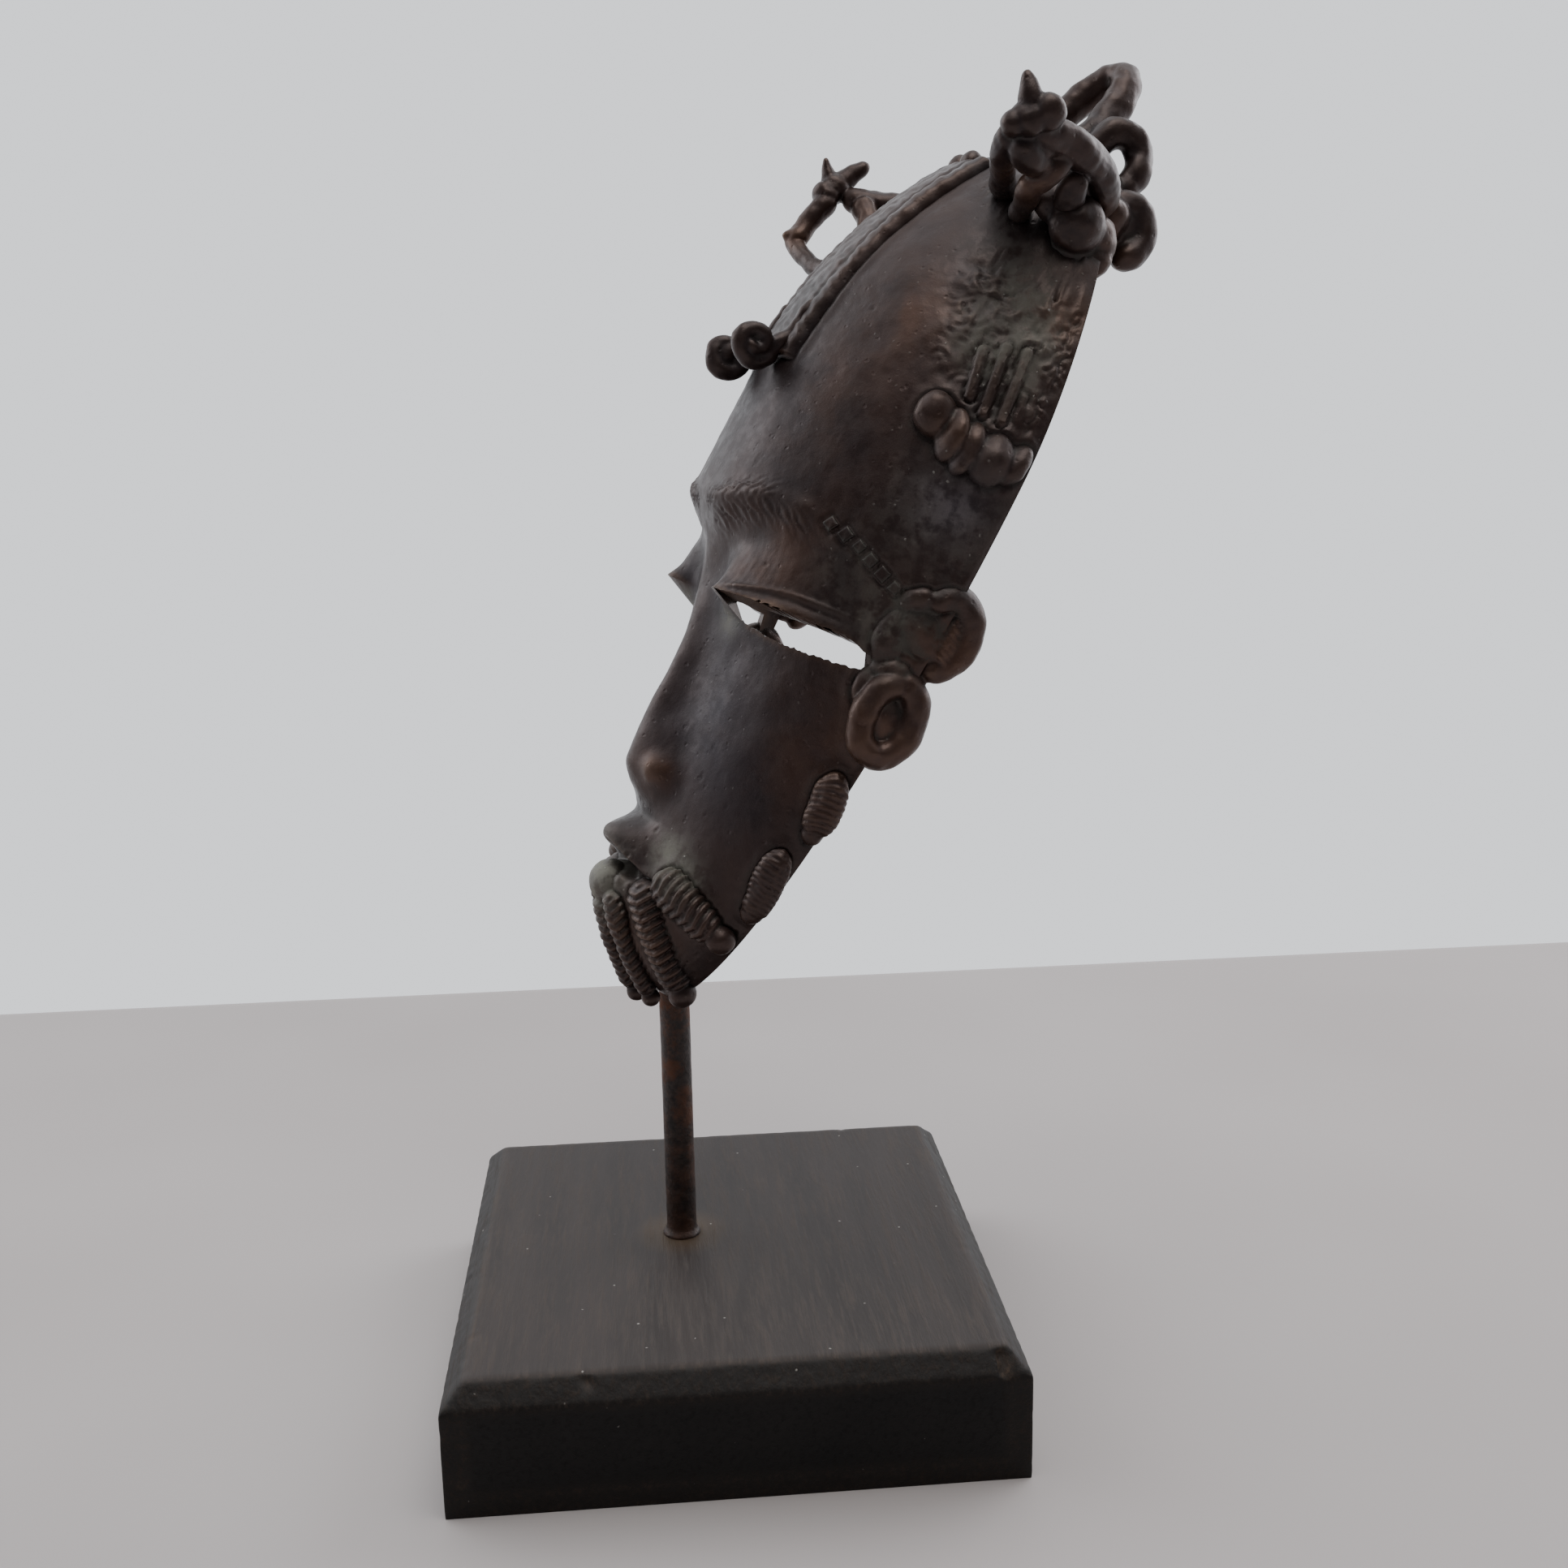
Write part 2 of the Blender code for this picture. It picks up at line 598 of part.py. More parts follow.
def make_base(parts, cutters):
    """The chamfered block with the rod's hole."""
    bm = bmesh.new()
    bmesh.ops.create_cube(bm, size=1.0)
    bmesh.ops.scale(bm, vec=(BASE_SIDE, BASE_SIDE, BASE_HEIGHT), verts=bm.verts)
    bmesh.ops.translate(bm, vec=(0, 0, BASE_HEIGHT / 2), verts=bm.verts)
    top = [e for e in bm.edges if all(v.co.z > BASE_HEIGHT / 2 for v in e.verts)]
    bmesh.ops.bevel(bm, geom=top, offset=BASE_CHAMFER, segments=1, affect="EDGES")
    base = mesh_object("base", bm, parts)
    base.data.materials.append(material("dark wood", (0.05, 0.038, 0.03), 0.7, 0.0))
    floor = BASE_HEIGHT - ROD_LET_IN - CLEARANCE
    cut(base, upright_cylinder("base_hole", ROD_HOLE, floor, BASE_HEIGHT + ROD_RADIUS, cutters))
    return base


def make_rod(parts):
    """The plain rod from the base's hole into the chin."""
    rod = upright_cylinder("rod", ROD_RADIUS, BASE_HEIGHT - ROD_LET_IN, CHIN_HEIGHT + CHIN_PEG, parts)
    rod.data.materials.append(material("rusty iron", (0.09, 0.045, 0.03), 0.75, 0.6))
    rod.data.shade_smooth()
    rod.data.set_sharp_from_angle(angle=math.radians(40))
    return rod


def main():
    for old in list(bpy.data.objects):
        bpy.data.objects.remove(old)
    parts = collection("bronze_mask")
    cutters = collection("cutters")
    mask = make_mask(parts, cutters)
    socket_top = CHIN_HEIGHT + CHIN_PEG + CLEARANCE
    cut(mask, upright_cylinder("chin_socket", ROD_HOLE, BASE_HEIGHT, socket_top, cutters))
    make_base(parts, cutters)
    make_rod(parts)


main()
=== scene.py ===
# %% [markdown]
# # A cast bronze mask on its rod and wooden block
# The object is a tall, strongly stylised mask, cast in bronze by the lost-wax method and carried by an iron
# rod in a dark wooden block. The caster first shaped a thin wax shell, then rolled, coiled and pressed more
# wax on it for ears, braids, hair and the little horned animals, and cast everything as one piece. This
# lesson follows that order: the shell, the carving on it, the wax rolls, and at last the patina that age
# and hands gave it.

# %% Load the measured model
import math

import bmesh
import bpy
import numpy as np
from mathutils import Matrix, Vector
from mathutils.bvhtree import BVHTree


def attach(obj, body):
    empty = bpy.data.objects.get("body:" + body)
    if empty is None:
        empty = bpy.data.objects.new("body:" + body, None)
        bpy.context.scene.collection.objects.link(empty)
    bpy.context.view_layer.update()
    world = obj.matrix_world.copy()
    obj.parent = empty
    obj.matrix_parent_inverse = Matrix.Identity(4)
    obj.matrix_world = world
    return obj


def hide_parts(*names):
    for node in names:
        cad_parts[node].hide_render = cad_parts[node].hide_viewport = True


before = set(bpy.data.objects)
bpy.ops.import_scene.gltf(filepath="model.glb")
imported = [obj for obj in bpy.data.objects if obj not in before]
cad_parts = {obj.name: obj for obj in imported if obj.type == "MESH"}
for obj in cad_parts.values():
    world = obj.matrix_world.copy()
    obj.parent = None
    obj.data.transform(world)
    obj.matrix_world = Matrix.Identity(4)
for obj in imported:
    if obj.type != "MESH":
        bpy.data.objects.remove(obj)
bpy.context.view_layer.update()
rng = np.random.default_rng(7)

# %% [markdown]
# ## The mask's own frame
# It is easier to carve a mask that stands upright than one that leans on a rod. So all of the casting is
# laid out in units of a millimetre in its own frame: u to its left side, v from chin to crown, w out of its
# face. The last step leans it back, turns it and sets it on the rod. The numbers are those of the measured
# model.

# %% Place and size of the mask
MILLIMETRE = 0.001
ROD_FOOT = Vector((-0.0022, -0.0098, 0.0))
CHIN_HEIGHT = 0.086
LEAN, TURN = math.radians(30.0), math.radians(14.0)
LENGTH, WIDEST_ROW, HALF_WIDTH, WALL = 208.0, 130.0, 50.0, 2.5
CHIN_POCKET, CROWN_POCKET = 17.0, LENGTH - WALL

stand = Matrix.Translation(ROD_FOOT + Vector((0, 0, CHIN_HEIGHT)))
stand = stand @ Matrix.Rotation(TURN, 4, "Z") @ Matrix.Rotation(-LEAN, 4, "X")
upright = Matrix(((1, 0, 0, 0), (0, 0, -1, 0), (0, 1, 0, 0), (0, 0, 0, 1)))
carving_to_frame = stand @ upright @ Matrix.Scale(MILLIMETRE, 4)
print("chin at", [round(c, 4) for c in carving_to_frame @ Vector((0, 0, 0))])

# %% [markdown]
# ## Small curves to carve with
# A carver thinks in soft steps and bumps. Three helpers give just that: a smooth curve through a few
# measured points, a soft step, and a bump. They take whole arrays, so the mask's many thousand points are
# shaped at once.

# %% Curve helpers


def smooth_curve(knots, x):
    """A monotone cubic through a few knots, flat beyond the first and last."""
    xs, ys = np.array(knots, float).T
    step = np.diff(xs)
    rate = np.diff(ys) / step
    slope = np.zeros(len(xs))
    same = rate[:-1] * rate[1:] > 0
    slope[1:-1][same] = 2.0 / (1.0 / rate[:-1][same] + 1.0 / rate[1:][same])
    slope[0] = rate[0]
    x = np.clip(x, xs[0], xs[-1])
    i = np.minimum(np.searchsorted(xs, x, side="right") - 1, len(xs) - 2)
    t = (x - xs[i]) / step[i]
    low = (1 + 2 * t) * (1 - t) ** 2 * ys[i] + t * (1 - t) ** 2 * step[i] * slope[i]
    return low + t * t * (3 - 2 * t) * ys[i + 1] + t * t * (t - 1) * step[i] * slope[i + 1]


def ease(x):
    """A smooth step from 0 to 1."""
    x = np.clip(x, 0.0, 1.0)
    return x * x * (3 - 2 * x)


def hump(x, centre, width):
    """A smooth bump of height 1."""
    return np.exp(-(((x - centre) / width) ** 2))


print("half way up a soft step:", ease(np.array(0.5)))

# %% [markdown]
# ## Bumpy fields without a picture
# Cast bronze is never quite smooth. A field of random waves, added up in many directions, gives a soft and
# endless unevenness that can be asked for at any point in space, and stays the same each time the file
# runs.

# %% A random wave field


def wave_field(points, size, waves=24, seed=1):
    """Random waves of about one wavelength, from about -1 to 1, at an array of points."""
    own = np.random.default_rng(seed)
    turn = own.normal(size=(waves, 3))
    turn /= np.linalg.norm(turn, axis=1)[:, None]
    turn *= (2 * math.pi / size) * own.uniform(0.7, 1.3, (waves, 1))
    phase = own.uniform(0, 2 * math.pi, waves)
    total = np.zeros(points.shape[:-1])
    for direction, start in zip(turn, phase):
        total += np.sin(points @ direction + start)
    return total / math.sqrt(waves)


print("field sample", wave_field(np.zeros((1, 3)), 5.0).round(2))

# %% [markdown]
# ## The shell
# The plain shell is one long hood, open at the back: half an ellipse below and above its widest row, a long
# face line that bulges at the forehead, and sections that fall away to the rim. These few curves are the
# same as in the measured model, so the fine mesh that is built from them lies on the measured one.

# %% Outline, face line and rim
PROFILE = ((0, 26), (26, 26.5), (45, 28.5), (60, 31), (75, 34), (88, 38.5), (96, 43), (106, 48.8),
           (125, 49.2))
RIM = ((0, 1.0), (5, 3.3), (130, 4.2), (172, 6.0), (208, 7.0))


def half_width(v, start=0.0, end=LENGTH, widest=HALF_WIDTH):
    """Half of the outline seen from the front."""
    span = np.where(v < WIDEST_ROW, WIDEST_ROW - start, end - WIDEST_ROW)
    return widest * np.sqrt(np.clip(1 - ((v - WIDEST_ROW) / span) ** 2, 0, 1))


def rim_line(v):
    """The open back's edge."""
    return smooth_curve(RIM, v)


def rise(v, start=0.0, end=LENGTH, less=0.0):
    """How far the middle line stands out of the rim."""
    chin = np.sqrt(np.clip(1 - (1 - np.clip((v - start) / 26.0, 0, 1)) ** 2, 0, 1))
    over = np.clip(v - 125.0, 0, None) / (end - 125.0)
    return (smooth_curve(PROFILE, v) - rim_line(v) - less) * chin * np.clip(1 - over**2, 0, 1) ** 0.55


print("face line at the brow, mm:", float(rise(np.array(106.0)).round(1)))

# %% [markdown]
# ## The carving on the shell
# Eyes, brow, nose and mouth were modelled in the wax of the shell itself. The eyes are long slits under a
# heavy lid that juts out like a peak, the nose is one long ridge with a small wing on each side, and the
# upper lip flares over an open mouth. Each feature is one short formula of u and v, so it can be moved or
# resized alone.

# %% Eyes, brow, nose and mouth
SLIT_INNER, SLIT_NEAR_END, SLIT_FAR_END, SLIT_ROWS = 18.0, 43.7, 46.2, (83.0, 86.0)
VISOR_REACH = 15.0
NOSE_LINE = ((35, 0), (38, 2.2), (41, 5.0), (45, 7.3), (52, 7.0), (66, 4.8), (82, 2.2), (95, 0.4))


def slit_edge(u, side):
    """The row of a slit's lower edge, side 0, or of the lid's edge over it, side 1."""
    end = np.where(u < 0, SLIT_FAR_END, SLIT_NEAR_END)
    far_lift = 1.4 * ease((-u - 32) / 8)
    pinch = np.where(u < 0, 0.4, 1.2)
    u = np.abs(u)
    close = pinch * ease((u - end + 2.1) / 2.1)
    if side == 0:
        ragged = 0.16 * np.sin(u * 2.3) * np.sin(u * 0.9 + 1) + 0.13 * np.sin(u * 5.1 + 2)
        return 81.4 + 0.009 * (np.clip(u, SLIT_INNER, None) - 27.0) ** 2 + close + ragged
    return 85.4 + 3.4 * ease((u - 12.0) / 42.0) - close + 0.05 * np.sin(u * 3.7) + far_lift


def visor(u, v):
    """The lid that juts out over the slit, with a fold along it."""
    over = v - slit_edge(u, 1)
    u = np.abs(u)
    height = 7.7 * ease((u - 9) / 9) * np.clip(1 - (np.clip(u - 20, 0, None) / 27) ** 2, 0, 1)
    inside = (over > -0.01) & (over < VISOR_REACH)
    fold_row = 1.4 + 2.4 * ease((u - 16) / 18)
    fold = 0.5 * hump(over, fold_row, 0.55) - 0.35 * hump(over, fold_row - 1.3, 0.8)
    fold = fold * ease((u - 17) / 5) * ease((44 - u) / 6)
    left = np.clip(1 - over / VISOR_REACH, 0, 1)
    return np.where(inside, height * (0.75 * left**1.3 + 0.25 * left**4) + fold, 0.0)


def brow_row(u):
    """The row of the brow ridge."""
    u = np.abs(u)
    return 101.0 + 6.6 * ease(u / 26) - 2.4 * ease((u - 31) / 8) - 6.5 * ease((u - 38) / 9)


def brow(u, v):
    """The arched ridge between forehead and eye socket."""
    line = brow_row(u)
    ridge = 0.95 * hump(v, line, 2.2) * ease((np.abs(u) - 3) / 6) * (1 - 0.5 * ease((np.abs(u) - 30) / 6))
    socket = -1.9 * hump(v, line - 7.5, 5.4) * hump(np.abs(u), 15, 12)
    return ridge + socket


def nose(u, v):
    """The long straight nose with its two wings."""
    crest = smooth_curve(NOSE_LINE, v)
    crest = crest * ease((v - 34) / 3) * ease((101 - v) / 10)
    width = 5.2 + 3.2 * ease((70 - v) / 24)
    return crest * hump(u, 0, width) + 2.6 * hump(v, 45.5, 4.2) * hump(np.abs(u), 8.5, 3.2)


def lips(u, v):
    """The flaring upper lip, the open mouth and the lower lip."""
    edge = 24.5 + 2.6 * hump(u, 0, 7)
    upper = 6.4 * hump(u, 0, 9.5) * ease((v - edge + 0.8) / 1.2) * ease((36.5 - v) / 8)
    mouth = -4.5 * hump(u, 0, 8) * hump(v, edge - 2.2, 1.7)
    return upper + mouth + 4.6 * hump(u, 0, 8.0) * hump(v, 19.0, 3.6)


def outer(u, v):
    """Where the outer skin stands at u, v."""
    cosine = np.sqrt(np.clip(1 - (u / np.clip(half_width(v), 1e-6, None)) ** 2, 0, 1))
    carved = visor(u, v) + brow(u, v) + nose(u, v) + lips(u, v)
    return rim_line(v) + rise(v) * cosine**1.35 + carved * ease(cosine / 0.3)


def on_skin(u, v):
    """A point on the outer skin."""
    return np.array((u, v, float(outer(np.array(float(u)), np.array(float(v))))))


print("nose stands at", on_skin(0, 50).round(1))

# %% [markdown]
# ## Rows and columns where the detail is
# A mesh is best fine only where the eye looks. Rows stand about 0.4 mm apart at mouth and eyes and wider on
# the plain forehead, and the columns are spaced by angle, so that they stay even around the sides. The
# slits are cut by leaving cells out between two rows that are bent onto the slit's edges.

# %% Grid of the skins
ROW_STEPS = ((0, 14, 16), (14, 22, 16), (22, 28.5, 20), (28.5, 38, 20), (38, 48, 16), (48, 76, 28),
             (76, 83, 12))
ROW_STEPS += ((83, 86, 1), (86, 94, 20), (94, 112, 52), (112, 135, 24), (135, 168, 64), (168, LENGTH, 32))
COLUMN_STEPS = (32, 68, 32)
INNER_STEP = 4
BENT_FROM, BENT_TO = 70.0, 104.0


def grid_rows():
    """Rows from chin to crown."""
    rows = [0.0]
    for low, high, count in ROW_STEPS:
        t = np.arange(1, count + 1) / count
        if low == 0:
            t = 1 - np.cos(t * math.pi / 2)
        if high == LENGTH:
            t = np.sin(t * math.pi / 2)
        rows += list(low + (high - low) * t)
    return np.array(rows)


def grid_columns():
    """Columns as sines of their angle, with columns on the slits' ends."""
    halves = []
    for outer_end in (SLIT_FAR_END, SLIT_NEAR_END):
        ends = [math.asin(u / float(half_width(np.array(SLIT_ROWS[1])))) for u in (SLIT_INNER, outer_end)]
        marks = [0.0, *ends, math.pi / 2]
        half = [0.0]
        for low, high, count in zip(marks, marks[1:], COLUMN_STEPS):
            half += list(low + (high - low) * np.arange(1, count + 1) / count)
        halves.append(np.sin(np.array(half)))
    return np.concatenate((-halves[0][:0:-1], halves[1]))


def warped(v, u):
    """Bends the rows beside a slit onto its edges."""
    low, high = slit_edge(u, 0), slit_edge(u, 1)
    start, bottom, top, end = BENT_FROM, *SLIT_ROWS, BENT_TO
    below = start + (v - start) / (bottom - start) * (low - start)
    middle = low + (v - bottom) / (top - bottom) * (high - low)
    above = high + (v - top) / (end - top) * (end - high)
    bent = np.where(v < bottom, below, np.where(v < top, middle, above))
    return np.where((v <= start) | (v >= end), v, bent)


def skin(rows, columns, inside):
    """The points of one skin, as rows by columns by three."""
    v, s = np.meshgrid(rows, columns, indexing="ij")
    cosine = np.sqrt(np.clip(1 - s * s, 0, 1))
    if not inside:
        u = s * half_width(v)
        row = warped(v, u)
        return np.stack((u, row, outer(s * half_width(row), row)), axis=-1)
    inner = SLIT_INNER / float(half_width(np.array(SLIT_ROWS[1])))
    s = s - np.sign(s) * 0.07 * hump(np.abs(s), inner, 0.14)
    base = np.interp(v, (0, 45, 185, LENGTH), (CHIN_POCKET, 45, 185, CROWN_POCKET))
    u = s * half_width(base, CHIN_POCKET, CROWN_POCKET, HALF_WIDTH - WALL)
    row = warped(base, u)
    follow = (0.6 * visor(u, row) + brow(u, row)) * ease(cosine / 0.3)
    stands = rise(row, CHIN_POCKET, CROWN_POCKET, WALL) * cosine**1.35
    return np.stack((u, row, rim_line(row) + stands + follow), axis=-1)


rows, columns = grid_rows(), grid_columns()
outer_points = skin(rows, columns, False)
print("outer skin", outer_points.shape)

# %% [markdown]
# ## Marks cut and pressed into the wax
# On the real mask the brow carries short slanting strokes above and below its ridge, a row of small square
# studs runs from there to the ear, and the hair over the temple is a patch of scribbled lumps with three
# straight strands. They are too fine for the measured solid, so here they move the skin along its own
# normal.

# %% Fine relief
STUDS = ((35.8, 106.9), (38.2, 106.2), (40.3, 105.2), (41.9, 103.7), (43.4, 102.3), (44.8, 100.9))
STRANDS = (((44.9, 154.5), (47.2, 139.6)), ((43.2, 153.5), (45.6, 139.4)), ((41.6, 151.0), (43.6, 141.5)))


def normals(points):
    """Outward normals of a grid of points."""
    along = np.gradient(points, axis=0)
    across = np.gradient(points, axis=1)
    normal = np.cross(across, along)
    size = np.linalg.norm(normal, axis=-1, keepdims=True)
    normal = normal / np.clip(size, 1e-9, None)
    outward = normal[..., 2:] + 0.6 * normal[..., :1] * np.sign(points[..., :1])
    return normal * np.where(outward < 0, -1.0, 1.0)


def brow_strokes(u, v):
    """Slanting strokes above and below the brow ridge."""
    u, over = np.abs(u), v - brow_row(u)
    uneven_u = u + 0.35 * np.sin(u * 1.7) + 0.25 * np.sin(v * 2.3)
    above = np.sin((uneven_u - 0.75 * over) * 3.7) * hump(over, 1.3, 2.0)
    below = np.sin((uneven_u + 0.7 * over) * 3.4 + 1) * hump(over, -3.0, 2.2)
    above = above * ease((u - 2) / 3) * ease((27 - u) / 6)
    below = below * ease((u - 6) / 4) * ease((35 - u) / 6)
    return 0.24 * above + 0.2 * below


def stud_frames():
    """Middle, two edge directions, facing and half size of each square stud."""
    frames = []
    for k, (u, v) in enumerate(STUDS):
        for side in (-1, 1):
            along = on_skin(side * (u + 0.4), v - 0.35) - on_skin(side * (u - 0.4), v + 0.35)
            upward = on_skin(side * u, v + 0.5) - on_skin(side * u, v - 0.5)
            facing = np.cross(along, upward) * side
            along, facing = along / np.linalg.norm(along), facing / np.linalg.norm(facing)
            half = 1.3 + 0.12 * math.sin(k * 2.1)
            frames.append((on_skin(side * u, v), along, np.cross(facing, along), facing, half))
    return frames


def stud_moats(points):
    """The narrow groove pressed around each stud."""
    total = np.zeros(points.shape[:2])
    for middle_point, along, across, _, half in stud_frames():
        away = points - middle_point
        reach = np.maximum(np.abs(away @ along), np.abs(away @ across))
        near = np.linalg.norm(away, axis=-1) < 4.5
        total -= near * 0.36 * hump(reach, half + 0.3, 0.34)
    return total


def strand_gap(points):
    """How far each point is from the nearest of the straight strands on the temples."""
    nearest = np.full(points.shape[:2], 99.0)
    for side in (-1, 1):
        for start, end in STRANDS:
            a, b = on_skin(side * start[0], start[1]), on_skin(side * end[0], end[1])
            t = np.clip((points - a) @ (b - a) / ((b - a) @ (b - a)), 0, 1)
            nearest = np.minimum(nearest, np.linalg.norm(points - a - t[..., None] * (b - a), axis=-1))
    return nearest


print("studs", len(stud_frames()), "strands", 2 * len(STRANDS))

# %% [markdown]
# ## Rough hair and wear
# The temple's hair was scribbled into soft wax with a pointed tool. That is copied here as many short arcs
# of a fixed depth, thrown at random within the patch. The rest of the skin gets slow unevenness, a rolled
# line along the open edge, and a few casting pits. All of it is added up and moves the skin once.

# %% Temple hair and wear


def temple_share(points):
    """1 within the patch of rough hair over the temple, 0 outside."""
    u, v = np.abs(points[..., 0]), points[..., 1]
    return ease((v - 136) / 7) * ease((178 - v) / 8) * ease((u - 25 - 0.3 * (175 - v)) / 7)


def hair_patch(points):
    """Crescents and dents scribbled into the temple's rough hair."""
    share = temple_share(points)
    total = 0.24 * wave_field(points, 8.0, 30, 11) + 0.12 * wave_field(points, 3.0, 30, 13)
    own = np.random.default_rng(19)
    flat, scribble = points.reshape(-1, 3), np.zeros(points.size // 3)
    chosen = flat[share.ravel() > 0.5]
    for place in chosen[own.integers(0, len(chosen), 230)]:
        radius, start, sweep = own.uniform(1.0, 2.6), own.uniform(0, 2 * math.pi), own.uniform(1.2, 3.0)
        away = flat - place
        near = np.linalg.norm(away, axis=-1) < radius + 1.5
        local = away[near]
        turned = (np.arctan2(local[:, 1], local[:, 2]) - start) % (2 * math.pi)
        gap = np.abs(np.linalg.norm(local, axis=-1) - radius)
        scribble[near] -= (0.24 * hump(gap, 0, 0.32) - 0.1 * hump(gap, 0.8, 0.4)) * (turned < sweep)
    return share * (total + np.clip(scribble, -0.38, 0.25).reshape(share.shape))


def wear_and_tear(points):
    """Slow unevenness of a hand-made wax, a rolled line along the open edge, and a few casting pits."""
    total = 0.3 * wave_field(points, 34.0, 24, 3) + 0.08 * wave_field(points, 9.0, 30, 4)
    total += 0.025 * wave_field(points, 3.4, 30, 5)
    rim_gap = points[..., 2] - rim_line(points[..., 1])
    rim = ease((points[..., 1] - 98) / 8) * ease((128 - points[..., 1]) / 10)
    total += rim * (0.3 * hump(rim_gap, 0.9, 0.7) - 0.25 * hump(rim_gap, 2.8, 0.7))
    pitted = hump(points[..., 1], 118, 10) * ease((np.abs(points[..., 0]) - 38) / 6)
    total += pitted * 0.1 * wave_field(points, 2.2, 30, 6)
    flat = points.reshape(-1, 3)
    for place in flat[rng.integers(0, len(flat), 90)]:
        size = rng.uniform(0.25, 0.7)
        gap = np.linalg.norm(points - place, axis=-1)
        total += size * (0.14 * hump(gap, size * 1.5, size * 0.5) - 0.5 * hump(gap, 0, size * 0.9))
    return total


fade = ease(np.sqrt(np.clip(1 - columns**2, 0, 1)) / 0.12)[None, :] * ease(rows / 3)[:, None]
relief = brow_strokes(outer_points[..., 0], outer_points[..., 1]) + stud_moats(outer_points)
gap = strand_gap(outer_points)
relief += 0.8 * ease((1.3 - gap) / 0.6) - 0.45 * hump(gap, 1.5, 0.3)
relief += hair_patch(outer_points) * (1 - 0.8 * ease((2.2 - gap) / 0.8)) + wear_and_tear(outer_points)
carved_points = outer_points + normals(outer_points) * (relief * fade)[..., None]
print("relief from", relief.min().round(2), "to", relief.max().round(2), "mm")

# %% [markdown]
# ## Rolls of wax
# Ears, braids, loops and limbs are all rolls of soft wax. A roll is a smooth line through a few points,
# each with its thickness, and a ring of points carried along it. Its ends are rounded, as a finger leaves
# them.

# %% Rolls and balls


def rounded_path(points, spacing=0.45):
    """A smooth line through points of u, v, w and radius, evenly sampled."""
    p = np.array(points, float)
    p = np.vstack((2 * p[0] - p[1], p, 2 * p[-1] - p[-2]))
    t = np.linspace(0, len(points) - 1, 40 * len(points))
    i = np.minimum(t.astype(int), len(points) - 2)
    f = (t - i)[:, None]
    a, b, c, d = p[i], p[i + 1], p[i + 2], p[i + 3]
    line = 0.5 * (2 * b + (c - a) * f + (2 * a - 5 * b + 4 * c - d) * f**2 + (3 * b - a - 3 * c + d) * f**3)
    length = np.concatenate(([0], np.cumsum(np.linalg.norm(np.diff(line[:, :3], axis=0), axis=1))))
    count = max(8, int(length[-1] / spacing))
    even = np.linspace(0, length[-1], count)
    return np.stack([np.interp(even, length, line[:, k]) for k in range(4)], axis=1), even


def tube_faces(count, sides):
    """Faces of a tube that has so many rings of so many points, with both ends closed."""
    faces = []
    for low in range(0, (count - 1) * sides, sides):
        for j in range(sides):
            turn = (j + 1) % sides
            faces.append((low + j, low + turn, low + sides + turn, low + sides + j))
    return faces + [tuple(range(sides))[::-1], tuple((count - 1) * sides + j for j in range(sides))]


def grid_faces(count, width):
    """Faces of an open sheet that has so many rows of so many points."""
    return [(i * width + j, i * width + j + 1, (i + 1) * width + j + 1, (i + 1) * width + j)
            for i in range(count - 1) for j in range(width - 1)]


def roll(points, sides=18, ring=None, flat=None):
    """Vertices and faces of a wax roll with rounded ends; ring(s, angle) scales its radius."""
    line, length = rounded_path(points)
    tangent = np.gradient(line[:, :3], axis=0)
    tangent /= np.linalg.norm(tangent, axis=1)[:, None]
    first = np.cross(tangent[0], (0.3, 0.9, 0.2))
    across = [first / np.linalg.norm(first)]
    for t in tangent[1:]:
        turned = across[-1] - t * (across[-1] @ t)
        across.append(turned / np.linalg.norm(turned))
    across = np.array(across)
    up = np.cross(tangent, across)
    angle = np.linspace(0, 2 * math.pi, sides, endpoint=False)
    radius = np.clip(line[:, 3], 0.15, None)
    end = np.minimum(length, length[-1] - length) / radius
    radius = radius * np.sqrt(np.clip(1 - (1 - np.clip(end, 0, 1)) ** 2, 0.004, 1))
    size = radius[:, None] * np.ones(sides)
    if ring is not None:
        size = size * ring(length[:, None], angle[None, :])
    cosine, sine = np.cos(angle)[None, :, None], np.sin(angle)[None, :, None]
    offset = size[..., None] * (cosine * across[:, None] + sine * up[:, None])
    if flat is not None:
        direction, keep = np.array(flat[0], float), flat[1]
        direction /= np.linalg.norm(direction)
        offset = offset - (offset @ direction)[..., None] * direction * (1 - keep)
    return (line[:, None, :3] + offset).reshape(-1, 3), tube_faces(len(line), sides)


def lump(place, radius, stretch=(1, 1, 1), tilt=(0, 0, 0)):
    """Vertices and faces of a pressed wax ball; stretch is along u, v and w."""
    bm = bmesh.new()
    bmesh.ops.create_icosphere(bm, subdivisions=3, radius=radius)
    turn = Matrix.Identity(3)
    for angle, axis in zip(tilt, "XYZ"):
        turn = turn @ Matrix.Rotation(angle, 3, axis)
    points = [turn @ Vector(c * k for c, k in zip(v.co, stretch)) for v in bm.verts]
    points = np.array(points) + np.array(place)
    faces = [tuple(v.index for v in f.verts) for f in bm.faces]
    bm.free()
    return points, faces


print("a short roll has", len(roll([(0, 0, 0, 1), (0, 5, 0, 1)])[0]), "points")

# %% [markdown]
# ## Fusing the wax
# Rolls that touch are fused: a voxel remesh makes one skin of them, a little smoothing melts the seams, and
# a wave field leaves the marks of fingers. A boolean would keep sharp seams, which no wax has. A coil is
# the one path that comes back often, in ears, scrolls and crown, so it has its own helper.

# %% Fusing and coiling


